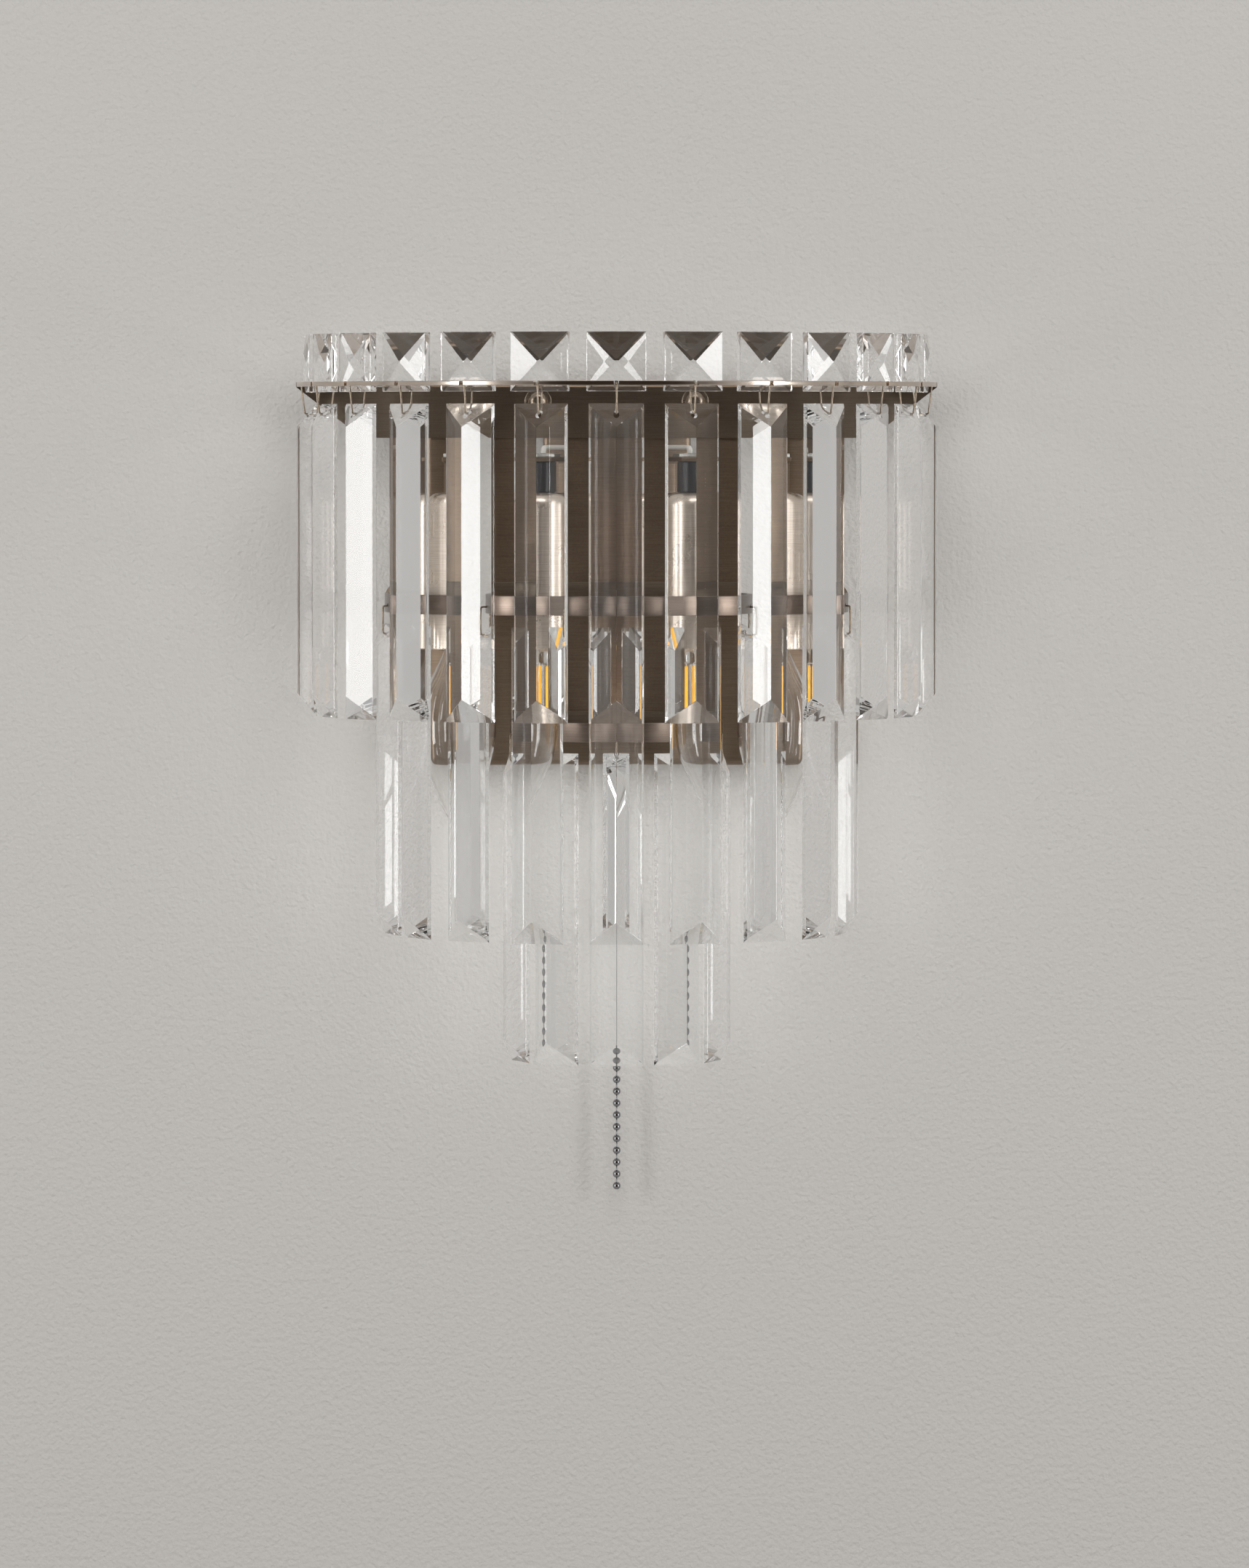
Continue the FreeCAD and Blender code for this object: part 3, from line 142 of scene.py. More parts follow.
# %% [markdown]
# The camera of the picture stands far back at the height of the horizon, a little under the
# rim, and tilts down by about two degrees. A long lens from 4.5 m keeps the uprights upright.
# The frame of 1717 by 2156 takes in 763 mm of the wall from top to bottom.

# %% Camera
CAMERA_DISTANCE = 4.5
HORIZON = -17 * MM
AIM = Vector((3.8 * MM, 0, -186 * MM))
FRAME_HEIGHT = 763 * MM
SENSOR_HEIGHT = 36
FAR_LIMIT = 100

camera_data = bpy.data.cameras.new("camera")
camera = add_object("camera", camera_data)
camera.location = (AIM.x, -CAMERA_DISTANCE, HORIZON)
aim(camera, AIM)
camera_data.sensor_fit = "VERTICAL"
camera_data.sensor_height = SENSOR_HEIGHT
camera_data.lens = SENSOR_HEIGHT * (AIM - camera.location).length / FRAME_HEIGHT
camera_data.clip_end = FAR_LIMIT
bpy.context.scene.camera = camera
print(f"lens {camera_data.lens:.0f} mm")

# %% [markdown]
# The backdrop is the wall that the light hangs on: pale plaster with a fine pebbled skin. Only
# its front shows. Seen from behind it lets the camera through, so that the back of the light
# can be looked at.

# %% Wall
WALL_HALF = 6
WALL_GAP = 0.3 * MM
WALL_COLOUR = (0.56, 0.545, 0.525, 1)
PLASTER_GRAIN = 420
PLASTER_STRENGTH = 0.7
PLASTER_DEPTH = 1.5

wall_mesh = bpy.data.meshes.new("wall")
corners = [(x * WALL_HALF, WALL_GAP, z * WALL_HALF)
           for x, z in ((-1, -1), (1, -1), (1, 1), (-1, 1))]
wall_mesh.from_pydata(corners, [], [(0, 1, 2, 3)])
wall = add_object("wall", wall_mesh)

plaster, tree, shader = new_material("plaster", Base_Color=WALL_COLOUR, Roughness=0.75,
                                     Specular_IOR_Level=0.2)
pebbles = object_noise(tree, Scale=PLASTER_GRAIN, Detail=3.0)
add_relief(tree, shader, pebbles, "Fac", PLASTER_STRENGTH, PLASTER_DEPTH)
side = add_node(tree, "ShaderNodeNewGeometry")
clear = add_node(tree, "ShaderNodeBsdfTransparent")
chooser = add_node(tree, "ShaderNodeMixShader")
connect(tree, (side, "Backfacing", chooser, "Fac"), (shader, "BSDF", chooser, 1),
        (clear, "BSDF", chooser, 2), (chooser, "Shader", tree.nodes["Material Output"], "Surface"))
wall_mesh.materials.append(plaster)
wall.visible_shadow = False

# %% [markdown]
# Two tall soft lamps stand far out to the left and right, and a smaller one hangs above. They
# give the metal its bright upright streaks and throw two faint shadows of the chain. The room
# is dark brown behind the camera, which the metal and the crystal show, and light at its sides.
# The broad fill that lights the wall is hidden from rays that glance off metal or pass through
# glass, and the lamp above is hidden from those inside the glass. Light runs along inside a
# long prism, so a ray may turn many times before it leaves.

# %% Light
# Each lamp has its place, its width and height in metres, and its power in watts.
LAMPS = (
    ("key_left", (-1.85, -1.4, 0.0), 0.45, 1.4, 14),
    ("key_right", (1.9, -1.35, 0.0), 0.4, 1.4, 14),
    ("top_soft", (0.1, -1.5, 1.7), 1.2, 0.5, 8),
    ("wall_fill", (0.0, -3.6, 1.1), 3.2, 2.2, 31),
)
LAMP_TARGET = Vector((0, 0, -0.15))
HIDDEN_FROM_METAL = ("wall_fill",)
HIDDEN_FROM_GLASS = ("wall_fill", "top_soft")
DARK_SIDE = (0.038, 0.029, 0.021)
LIGHT_SIDE = (0.52, 0.505, 0.49)
DARK_EDGES = (0.93, 0.70)
MOST_BOUNCES = 32

for name, spot, width, height, power in LAMPS:
    lamp_data = bpy.data.lights.new(name, "AREA")
    lamp_data.shape = "RECTANGLE"
    lamp_data.size = width
    lamp_data.size_y = height
    lamp_data.energy = power
    lamp = add_object(name, lamp_data)
    lamp.location = spot
    aim(lamp, LAMP_TARGET)
    lamp.visible_glossy = name not in HIDDEN_FROM_METAL
    lamp.visible_transmission = name not in HIDDEN_FROM_GLASS

world = bpy.data.worlds.new("studio")
world.use_nodes = True
tree = world.node_tree
way = add_node(tree, "ShaderNodeTexCoord")
parts = add_node(tree, "ShaderNodeSeparateXYZ")
forward = calculate(tree, "MULTIPLY", parts.outputs["Y"], -1)
from_front = add_node(tree, "ShaderNodeMapRange", interpolation_type="SMOOTHSTEP",
                      From_Min=DARK_EDGES[1], From_Max=DARK_EDGES[0])
room = colour_mix(tree, LIGHT_SIDE, DARK_SIDE)
tree.links.new(forward, from_front.inputs["Value"])
connect(tree, (way, "Generated", parts, "Vector"), (from_front, "Result", room, "Factor"),
        (room, MIX_RESULT, tree.nodes["Background"], "Color"))
bpy.context.scene.world = world
bpy.context.scene.view_settings.view_transform = "Standard"
for limit in ("max_bounces", "glossy_bounces", "transmission_bounces"):
    setattr(bpy.context.scene.cycles, limit, MOST_BOUNCES)

# %% [markdown]
# ## Shader groups
# Three effects serve many finishes, so each is a node group with named inputs: the brushed
# grain of the plated sheet, the wear that shows on outer edges, and the faint smears that
# fingers and dust leave on polished metal and glass. A group hands out only masks and values.

# %% Group builder
GRAIN_SQUEEZE = (60.0, 60.0, 4200.0)


def shader_group(name, inputs, outputs):
    """An empty shader group with its named inputs (with defaults) and outputs."""
    group = bpy.data.node_groups.new(name, "ShaderNodeTree")
    for label, value in inputs:
        kind = "NodeSocketVector" if isinstance(value, tuple) else "NodeSocketFloat"
        socket = group.interface.new_socket(label, in_out="INPUT", socket_type=kind)
        socket.default_value = value
    for label in outputs:
        group.interface.new_socket(label, in_out="OUTPUT", socket_type="NodeSocketFloat")
    return group, group.nodes.new("NodeGroupInput"), group.nodes.new("NodeGroupOutput")


def brushed_grain_group():
    """Long fine scratches: a noise that is squeezed across them. Gives height and tone."""
    group, given, result = shader_group(
        "brushed_grain", (("Squeeze", GRAIN_SQUEEZE), ("Tone Low", 0.35), ("Tone High", 0.65)),
        ("Height", "Tone"))
    place = add_node(group, "ShaderNodeTexCoord")
    squeeze = add_node(group, "ShaderNodeVectorMath", operation="MULTIPLY")
    noise = add_node(group, "ShaderNodeTexNoise", Scale=1.0, Detail=4.0, Roughness=0.65)
    spread = add_node(group, "ShaderNodeMapRange")
    connect(group, (place, "Object", squeeze, 0), (given, "Squeeze", squeeze, 1),
            (squeeze, "Vector", noise, "Vector"), (noise, "Fac", spread, "Value"),
            (given, "Tone Low", spread, "From Min"), (given, "Tone High", spread, "From Max"),
            (noise, "Fac", result, "Height"), (spread, "Result", result, "Tone"))
    return group


def edge_wear_group():
    """A mask that rises to 1 where an edge or corner sticks out and the plating has rubbed."""
    group, given, result = shader_group(
        "edge_wear", (("Start", 0.52), ("End", 0.62), ("Break Scale", 900.0)), ("Wear",))
    shape = add_node(group, "ShaderNodeNewGeometry")
    patches = object_noise(group, Detail=2.0)
    ramp = add_node(group, "ShaderNodeMapRange")
    connect(group, (shape, "Pointiness", ramp, "Value"), (given, "Start", ramp, "From Min"),
            (given, "End", ramp, "From Max"), (given, "Break Scale", patches, "Scale"))
    wear = calculate(group, "MULTIPLY", ramp.outputs["Result"], patches.outputs["Fac"])
    group.links.new(wear, result.inputs["Wear"])
    return group


def smears_group():
    """Soft cloudy patches for a thin film of dust and finger marks."""
    group, given, result = shader_group(
        "smears", (("Scale", 45.0), ("Least", 0.0), ("Most", 0.1)), ("Film",))
    clouds = object_noise(group, Detail=5.0, Roughness=0.6)
    spread = add_node(group, "ShaderNodeMapRange", From_Min=0.4, From_Max=0.75)
    connect(group, (given, "Scale", clouds, "Scale"), (clouds, "Fac", spread, "Value"),
            (given, "Least", spread, "To Min"), (given, "Most", spread, "To Max"),
            (spread, "Result", result, "Film"))
    return group


GRAIN = brushed_grain_group()
WEAR = edge_wear_group()
SMEARS = smears_group()


def place_group(tree, group, **values):
    """A group inside a material, with this finish's own values."""
    return add_node(tree, "ShaderNodeGroup", node_tree=group, **values)


# %% [markdown]
# ## Metal finishes
# The sheet is plated bronze and brushed sideways, so its grain is a height for a Bump node and
# a small change of tone, and what it mirrors is blurred up and down. Worn edges are lighter.
# The spun cups and the top plate are paler, and the plate is closer to a mirror. The flange
# and the strips wear satin_bronze: the sheet's bronze painted darker, as painted shade under the
# plate and behind the bands.

# %% Plated metal
WORN_LIGHTER = 1.5
GRAIN_DEPTH = 0.02


def plated_metal(name, dark, light, roughness, relief, squeeze=GRAIN_SQUEEZE, film=0.08, blur=0.0):
    """A plating with two tones of grain, worn edges, a film of smears and an upright blur."""
    material, tree, shader = new_material(name, Metallic=1.0, Anisotropic=blur)
    if blur:
        upright = add_node(tree, "ShaderNodeCombineXYZ", Z=1)
        connect(tree, (upright, "Vector", shader, "Tangent"))
    grain = place_group(tree, GRAIN, Squeeze=squeeze)
    wear = place_group(tree, WEAR)
    smears = place_group(tree, SMEARS, Least=roughness, Most=roughness + film)
    tone = colour_mix(tree, dark, light)
    worn = colour_mix(tree, second=[min(1, c * WORN_LIGHTER) for c in light])
    connect(tree, (grain, "Tone", tone, "Factor"), (tone, MIX_RESULT, worn, MIX_FIRST),
            (wear, "Wear", worn, "Factor"), (worn, MIX_RESULT, shader, "Base Color"),
            (smears, "Film", shader, "Roughness"))
    add_relief(tree, shader, grain, "Height", relief, GRAIN_DEPTH)
    return material


# Each metal has a dark and a light tone, its roughness, its relief and what else it needs.
METALS = {
    "brushed_bronze": ((0.16, 0.115, 0.08), (0.225, 0.168, 0.122), 0.30, 0.5, {"blur": 0.7}),
    "spun_bronze": ((0.64, 0.55, 0.47), (0.82, 0.73, 0.64), 0.26, 0.5, {"blur": 0.8}),
    "polished_bronze": ((0.50, 0.43, 0.37), (0.62, 0.54, 0.47), 0.14, 0.1, {}),
    "band_bronze": ((0.135, 0.104, 0.085), (0.19, 0.151, 0.125), 0.30, 0.5, {"blur": 0.7}),
    # satin_bronze is the sheet's bronze painted darker: painted shade on the flange and the strips.
    "satin_bronze": ((0.105, 0.08, 0.058), (0.15, 0.118, 0.089), 0.34, 0.5, {"blur": 0.6}),
    "zinc_steel": ((0.30, 0.29, 0.27), (0.42, 0.41, 0.39), 0.38, 0.3,
                   {"squeeze": (900.0, 900.0, 900.0)}),
    "dark_nut": ((0.26, 0.21, 0.17), (0.36, 0.30, 0.24), 0.24, 0.2, {}),
    "polished_brass": ((0.66, 0.46, 0.18), (0.78, 0.58, 0.27), 0.16, 0.2, {}),
    "hook_wire": ((0.24, 0.195, 0.15), (0.40, 0.335, 0.265), 0.16, 0.2, {}),
    "chain_metal": ((0.24, 0.24, 0.25), (0.34, 0.34, 0.35), 0.08, 0.1, {"film": 0.04}),
    "bulb_cap_brass": ((0.66, 0.52, 0.30), (0.80, 0.66, 0.42), 0.22, 0.2, {}),
}
FINISH = {name: plated_metal(name, *values, **more) for name, (*values, more) in METALS.items()}

# %% [markdown]
# Paint, plastic and rubber are not metal: a noise varies the tone a little and gives the
# surface the fine texture that it has from its mould or its paint.

# %% Painted and moulded finishes
MOULDED_DARKER = 0.88
MOULDED_FILM = 0.12
MOULDED_DEPTH = 0.03


def moulded(name, colour, roughness, texture_scale, relief, painted_glow=0.0):
    """A painted or moulded surface with a fine texture, and an optional painted glow that brightens
    it without a lamp.
    """
    material, tree, shader = new_material(name, Emission_Color=(*colour, 1), Emission_Strength=painted_glow)
    noise = object_noise(tree, Scale=texture_scale, Detail=3.0)
    tone = colour_mix(tree, [c * MOULDED_DARKER for c in colour], colour)
    smears = place_group(tree, SMEARS, Least=roughness, Most=roughness + MOULDED_FILM)
    connect(tree, (noise, "Fac", tone, "Factor"), (tone, MIX_RESULT, shader, "Base Color"),
            (smears, "Film", shader, "Roughness"))
    add_relief(tree, shader, noise, "Fac", relief, MOULDED_DEPTH)
    return material


for name, *values in (
    ("black_metal", (0.012, 0.012, 0.014), 0.18, 1400.0, 0.15),
    ("white_socket", (0.72, 0.70, 0.65), 0.45, 2200.0, 0.3),
    ("black_plastic", (0.02, 0.02, 0.022), 0.42, 2600.0, 0.4),
    ("white_plastic", (0.74, 0.73, 0.69), 0.4, 2600.0, 0.3),
    ("lead_sheath", (0.62, 0.60, 0.56), 0.38, 1800.0, 0.2),
    ("black_rubber", (0.018, 0.018, 0.018), 0.6, 3200.0, 0.5),
    # The filament's last value is a painted glow: its yellow coat shines a little, though no lamp
    # is lit inside the bulb.
    ("filament", (0.95, 0.47, 0.012), 0.5, 3500.0, 0.5, 0.35),
):
    FINISH[name] = moulded(name, *values)

# %% [markdown]
# ## Glass
# Cut crystal is clear, heavy glass: a plain dielectric with full transmission and a high index
# of refraction, so that its facets turn the light right round. The bulbs are thin soda glass
# with a lower index. The faint film of smears varies only the roughness. Clear glass lets the
# lamps' light through to the wall and the pan, so its pieces throw no shadow of their own.

# %% Glass finishes
CLEAR = ("crystal_glass", "bulb_glass")
WAVE_DEPTH = 0.03


def clear_glass(name, colour, index, waviness):
    """A clear glass, with a very slight waviness from its polishing."""
    material, tree, shader = new_material(
        name, Base_Color=(*colour, 1), Transmission_Weight=1.0, IOR=index, Metallic=0.0)
    smears = place_group(tree, SMEARS, Scale=60.0, Least=0.0, Most=0.012)
    waves = object_noise(tree, Scale=70.0, Detail=1.0)
    connect(tree, (smears, "Film", shader, "Roughness"))
    add_relief(tree, shader, waves, "Fac", waviness, WAVE_DEPTH)
    return material


FINISH["crystal_glass"] = clear_glass("crystal_glass", (0.985, 0.99, 0.99), 1.60, 0.05)
FINISH["bulb_glass"] = clear_glass("bulb_glass", (0.99, 0.99, 0.985), 1.47, 0.15)

# %% [markdown]
# Every CAD node takes the finish of its slot. The pieces that follow replace them.

# %% Finish the CAD nodes
SLOTS = {row["node"]: row["material_slot"] for row in frame["record"]["subparts"]}
for name, thing in nodes.items():
    if not thing.material_slots:
        thing.data.materials.append(None)
    for holder in thing.material_slots:
        holder.material = FINISH[SLOTS[name]]
print(f"{len(FINISH)} finishes")

# %% [markdown]
# ## Tools for the pieces
# Most pieces are turned, bent from sheet or strung along a line, so a few tools make them all:
# a lathe, a sheet cut to an outline, smooth shading that keeps the sharp edges, and small
# Geometry Nodes trees for what repeats. Each finished mesh then becomes a piece that rides on
# its body and stands for its CAD node.

# %% Tools for meshes
BEVEL_FROM = math.radians(20)


def finished_mesh(thing):
    """The object's mesh with its modifiers applied; the object itself is removed."""
    depsgraph = bpy.context.evaluated_depsgraph_get()
    data = bpy.data.meshes.new_from_object(thing.evaluated_get(depsgraph))
    bpy.data.objects.remove(thing)
    return data


def bevelled(thing, width, segments):
    """Adds the narrow bevel that every ground or bent edge has."""
    bevel = thing.modifiers.new("arris", "BEVEL")
    bevel.width = width * MM
    bevel.segments = segments
    bevel.limit_method = "ANGLE"
    bevel.angle_limit = BEVEL_FROM
    return thing


def written(work, data=None):
    """A mesh, new or given, after a bmesh was written into it and freed."""
    data = data or bpy.data.meshes.new("mesh")
    work.to_mesh(data)
    work.free()
    return data


def mesh_of(work):
    """A mesh from a bmesh, with all its faces turned outward."""
    bmesh.ops.recalc_face_normals(work, faces=work.faces)
    return written(work)


def smooth(data, angle):
    """Smooth shading over a mesh, with the edges that turn further than the angle kept sharp."""
    work = bmesh.new()
    work.from_mesh(data)
    for face in work.faces:
        face.smooth = True
    for edge in work.edges:
        edge.smooth = edge.calc_face_angle(0) < math.radians(angle)
    written(work, data)


def arc(centre, radius, first, last, steps=6):
    """Points of a round corner, from the first angle to the last, in degrees."""
    turns = [math.radians(first + (last - first) * n / steps) for n in range(steps + 1)]
    return [(centre[0] + radius * math.cos(t), centre[1] + radius * math.sin(t)) for t in turns]


def skin(work, rings):
    """Faces between neighbouring rings of corners."""
    for ring, other in zip(rings, rings[1:]):
        for n in range(len(ring)):
            m = (n + 1) % len(ring)
            work.faces.new((ring[n], ring[m], other[m], other[n]))


def lathe(profile, segments=64, closed=False):
    """A turned piece about Z. The profile is (radius, height) in millimetres, from end to end."""
    work = bmesh.new()
    rings = []
    for radius, height in profile:
        steps = segments if radius > 1e-6 else 1
        angles = [2 * math.pi * n / segments for n in range(steps)]
        rings.append([
            work.verts.new((radius * MM * math.cos(t), radius * MM * math.sin(t), height * MM))
            for t in angles])
    following = rings[1:] + (rings[:1] if closed else [])
    for ring, other in zip(rings, following):
        if len(ring) == len(other) == 1:
            continue
        for n in range(segments):
            m = (n + 1) % segments
            corners = [ring[n % len(ring)], ring[m % len(ring)], other[m % len(other)],
                       other[n % len(other)]]
            work.faces.new(dict.fromkeys(corners))
    return mesh_of(work)


def rod(radius, start, end, segments):
    """A plain round bar about Z, from one height to another in millimetres."""
    return lathe([(0, start), (radius, start), (radius, end), (0, end)], segments)


ROWS_IN_A_TURN = 8


def threaded(radius, depth, pitch, length, segments=40):
    """A screw thread about Z, from 0 down to its length in millimetres; it fades at its ends."""
    work = bmesh.new()
    rows = int(length / pitch * ROWS_IN_A_TURN)
    grid = []
    for row in range(rows + 1):
        down = length * row / rows
        fade = min(1, down / pitch, (length - down) / pitch)
        ring = []
        for n in range(segments):
            t = 2 * math.pi * n / segments
            wave = 0.5 + 0.5 * math.cos(2 * math.pi * down / pitch - t)
            r = (radius - depth * (1 - wave * fade)) * MM
            ring.append(work.verts.new((r * math.cos(t), r * math.sin(t), -down * MM)))
        grid.append(ring)
    skin(work, grid)
    return mesh_of(work)


def sheet_cut(outline, thick):
    """A sheet cut to an outline of (x, z) in millimetres, from y = 0 to its thickness in front."""
    work = bmesh.new()
    back = [work.verts.new((x * MM, 0, z * MM)) for x, z in outline]
    front = [work.verts.new((x * MM, -thick * MM, z * MM)) for x, z in outline]
    work.faces.new(back)
    work.faces.new(reversed(front))
    skin(work, (front, back))
    return mesh_of(work)


def joined(*parts):
    """One mesh out of several, each given as a mesh and the matrix that places it."""
    work = bmesh.new()
    for data, matrix in parts:
        moved = data.copy()
        moved.transform(matrix)
        work.from_mesh(moved)
        bpy.data.meshes.remove(moved)
    return written(work)


def at(x=0.0, y=0.0, z=0.0):
    """A matrix that moves a piece by millimetres."""
    return Matrix.Translation((x * MM, y * MM, z * MM))


TO_FRONT = Matrix.Rotation(math.pi / 2, 4, "X")


def drill(radius, *places, length=60.0):
    """One cutter made of round bars along Y, each placed by a matrix."""
    bar = rod(radius, -length / 2, length / 2, 32)
    bar.transform(TO_FRONT)
    return add_object("drill", joined(*[(bar, place) for place in places]))


def machined(data, arris, *tools, segments=1):
    """A mesh with its arrises bevelled and its tools cut out; the tools are used up."""
    thing = add_object("blank", data)
    if arris:
        bevelled(thing, arris, segments)
    for tool in tools:
        cut = thing.modifiers.new("hole", "BOOLEAN")
        cut.operation = "DIFFERENCE"
        cut.object = tool
        cut.solver = "EXACT"
    result = finished_mesh(thing)
    for tool in tools:
        bpy.data.objects.remove(tool)
    return result


# Edges that turn further than these angles stay sharp.
FACET_ANGLE = 8
SHEET_ANGLE = 32
ROUND_ANGLE = 60
BODY = "fixture"


def piece(name, data, finish, *replaced, body=BODY, angle=SHEET_ANGLE):
    """A finished piece: shaded, painted, riding on its body and standing for its CAD nodes."""
    smooth(data, angle)
    data.name = name
    data.materials.clear()
    data.materials.append(FINISH[finish])
    thing = add_object(name, data)
    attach(thing, body)
    if replaced:
        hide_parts(*replaced)
    thing.visible_shadow = finish not in CLEAR


# %% Tools for Geometry Nodes
def nodes_tree(name, *inputs):
    """A Geometry Nodes tree with its inputs, and its input and output nodes."""
    tree = bpy.data.node_groups.new(name, "GeometryNodeTree")
    for label, kind in inputs:
        tree.interface.new_socket(label, in_out="INPUT", socket_type=f"NodeSocket{kind}")
    tree.interface.new_socket("Geometry", in_out="OUTPUT", socket_type="NodeSocketGeometry")
    return tree, tree.nodes.new("NodeGroupInput"), tree.nodes.new("NodeGroupOutput")


def close_tree(tree, result, giver, output, finish):
    """Ends a tree as every tree here ends: real geometry with its material."""
    real = add_node(tree, "GeometryNodeRealizeInstances")
    paint = add_node(tree, "GeometryNodeSetMaterial", Material=FINISH[finish])
    connect(tree, (giver, output, real, "Geometry"), (real, "Geometry", paint, "Geometry"),
            (paint, "Geometry", result, "Geometry"))


def copies_at(tree, given, giver, output):
    """Copies of the tree's pattern object at points."""
    pattern = add_node(tree, "GeometryNodeObjectInfo")
    copies = add_node(tree, "GeometryNodeInstanceOnPoints")
    connect(tree, (giver, output, copies, "Points"), (given, "Pattern", pattern, "Object"),
            (pattern, "Geometry", copies, "Instance"))
    return copies


def grown(carrier, tree, **values):
    """The plain mesh that a tree makes on a carrier mesh with these input values."""
    thing = add_object("carrier", carrier)
    grower = thing.modifiers.new("grow", "NODES")
    grower.node_group = tree
    for entry in tree.interface.items_tree:
        label = entry.name.replace(" ", "_")
        if label in values:
            grower[entry.identifier] = values[label]
    return finished_mesh(thing)


def ring_tree(finish):
    """Copies of one object at stations of a half circle, each facing outward."""
    tree, given, result = nodes_tree(
        "ring_of_copies", ("Geometry", "Geometry"), ("Pattern", "Object"), ("Count", "Int"),
        ("Step", "Float"), ("Radius", "Float"), ("Centre Y", "Float"), ("Height", "Float"))
    points = add_node(tree, "GeometryNodePoints")
    number = add_node(tree, "GeometryNodeInputIndex")
    last = calculate(tree, "SUBTRACT", given.outputs["Count"], 1)
    middle = calculate(tree, "DIVIDE", last, 2)
    from_middle = calculate(tree, "SUBTRACT", number.outputs["Index"], middle)
    angle = calculate(tree, "MULTIPLY", from_middle, given.outputs["Step"])
    inward = calculate(tree, "MULTIPLY", given.outputs["Radius"], -1)
    arm = add_node(tree, "ShaderNodeCombineXYZ")
    centre = add_node(tree, "ShaderNodeCombineXYZ")
    turn = add_node(tree, "ShaderNodeCombineXYZ")
    swing = add_node(tree, "ShaderNodeVectorRotate", rotation_type="Z_AXIS")
    spot = add_node(tree, "ShaderNodeVectorMath", operation="ADD")
    move = add_node(tree, "GeometryNodeSetPosition")
    for result_of, entry in ((inward, arm.inputs["Y"]), (angle, swing.inputs["Angle"]),
                             (angle, turn.inputs["Z"])):
        tree.links.new(result_of, entry)
    connect(tree, (given, "Count", points, "Count"), (arm, "Vector", swing, "Vector"),
            (given, "Centre Y", centre, "Y"), (given, "Height", centre, "Z"),
            (swing, "Vector", spot, 0), (centre, "Vector", spot, 1),
            (points, "Points", move, "Geometry"), (spot, "Vector", move, "Position"))
    copies = copies_at(tree, given, move, "Geometry")
    connect(tree, (turn, "Vector", copies, "Rotation"))
    close_tree(tree, result, copies, "Instances", finish)
    return tree


def string_tree(finish):
    """Copies of one object along a straight line, as beads on a string."""
    tree, given, result = nodes_tree(
        "string_of_copies", ("Geometry", "Geometry"), ("Pattern", "Object"), ("Count", "Int"),
        ("Start", "Vector"), ("Step", "Vector"))
    line = add_node(tree, "GeometryNodeMeshLine", mode="OFFSET")
    connect(tree, (given, "Count", line, "Count"), (given, "Start", line, "Start Location"),
            (given, "Step", line, "Offset"))
    close_tree(tree, result, copies_at(tree, given, line, "Mesh"), "Instances", finish)
    return tree


def wire_tree(finish):
    """A round wire along every chain of edges in the carrier mesh."""
    tree, given, result = nodes_tree(
        "wire_along_edges", ("Geometry", "Geometry"), ("Radius", "Float"), ("Sides", "Int"))
    path = add_node(tree, "GeometryNodeMeshToCurve")
    section = add_node(tree, "GeometryNodeCurvePrimitiveCircle")
    sweep = add_node(tree, "GeometryNodeCurveToMesh")
    connect(tree, (given, "Geometry", path, "Mesh"), (given, "Radius", section, "Radius"),
            (given, "Sides", section, "Resolution"), (path, "Curve", sweep, "Curve"),
            (section, "Curve", sweep, "Profile Curve"))
    close_tree(tree, result, sweep, "Mesh", finish)
    return tree


def strung(pattern, finish, count, start, step):
    """A row of copies of a mesh as one mesh; start and step are in millimetres."""
    model = add_object("pattern", pattern)
    data = grown(bpy.data.meshes.new("row"), string_tree(finish), Pattern=model, Count=count,
                 Start=[v * MM for v in start], Step=[v * MM for v in step])
    bpy.data.objects.remove(model)
    return data


# %% [markdown]
# ## Places
# The stations of each tier lie on half circles about one upright axis in front of the pan. The
# middle band's box gives that axis, and the lamps' cups and the pan give the other places.


# %% Places from the frame
def box_mm(name):
    """The lowest and the highest corner of a CAD node in millimetres."""
    return [[v / MM for v in corner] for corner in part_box(name)]


band_low, band_high = box_mm("mid_tier_band")
TIER_Y = band_low[1] + (band_high[0] - band_low[0]) / 2
pan_low, pan_high = box_mm("backplate_pan")
PAN_FRONT = pan_low[1]
cup_low, cup_high = box_mm("lamp_cups")
CUP_RADIUS = 14.5
LAMP_X = cup_high[0] - CUP_RADIUS
LAMP_Y = cup_low[1] + CUP_RADIUS
CHAIN_Y = -11.0
STUD_X = 38.0
print(f"tiers' axis y {TIER_Y:.1f}, lamps at x {LAMP_X:.1f}, y {LAMP_Y:.1f} mm")


def station(angle, outward=0.0, height=0.0, turn=0.0):
    """A matrix that puts a piece at a station: outward from the tiers' axis, in millimetres."""
    about_axis = at(0, TIER_Y, 0) @ Matrix.Rotation(angle, 4, "Z")
    return about_axis @ at(0, -outward, height) @ Matrix.Rotation(turn, 4, "Z")


def station_angles(count, step):
    """The angles of a tier's stations in radians, from left to right, with 0 at the front."""
    return [math.radians((n - (count - 1) / 2) * step) for n in range(count)]


# Each tier has its number of prisms, their step in degrees, and its radius in millimetres.
TIERS = {"top": (13, 14, 148.0), "mid": (9, 20, 111.25), "low": (5, 36, 50.75)}

# %% [markdown]
# ## Long prisms
# A prism is a bar of five sides with its ridge outward. Both ends are ground to a slope, and a
# hole for the wire is drilled near the top. One bar is made in code, its hole is a Boolean and
# its arrises a Bevel, and each station gets a copy of the finished mesh. The real ones hang a
# little turned on their wires, each in its own way, so each copy has its own small turn.

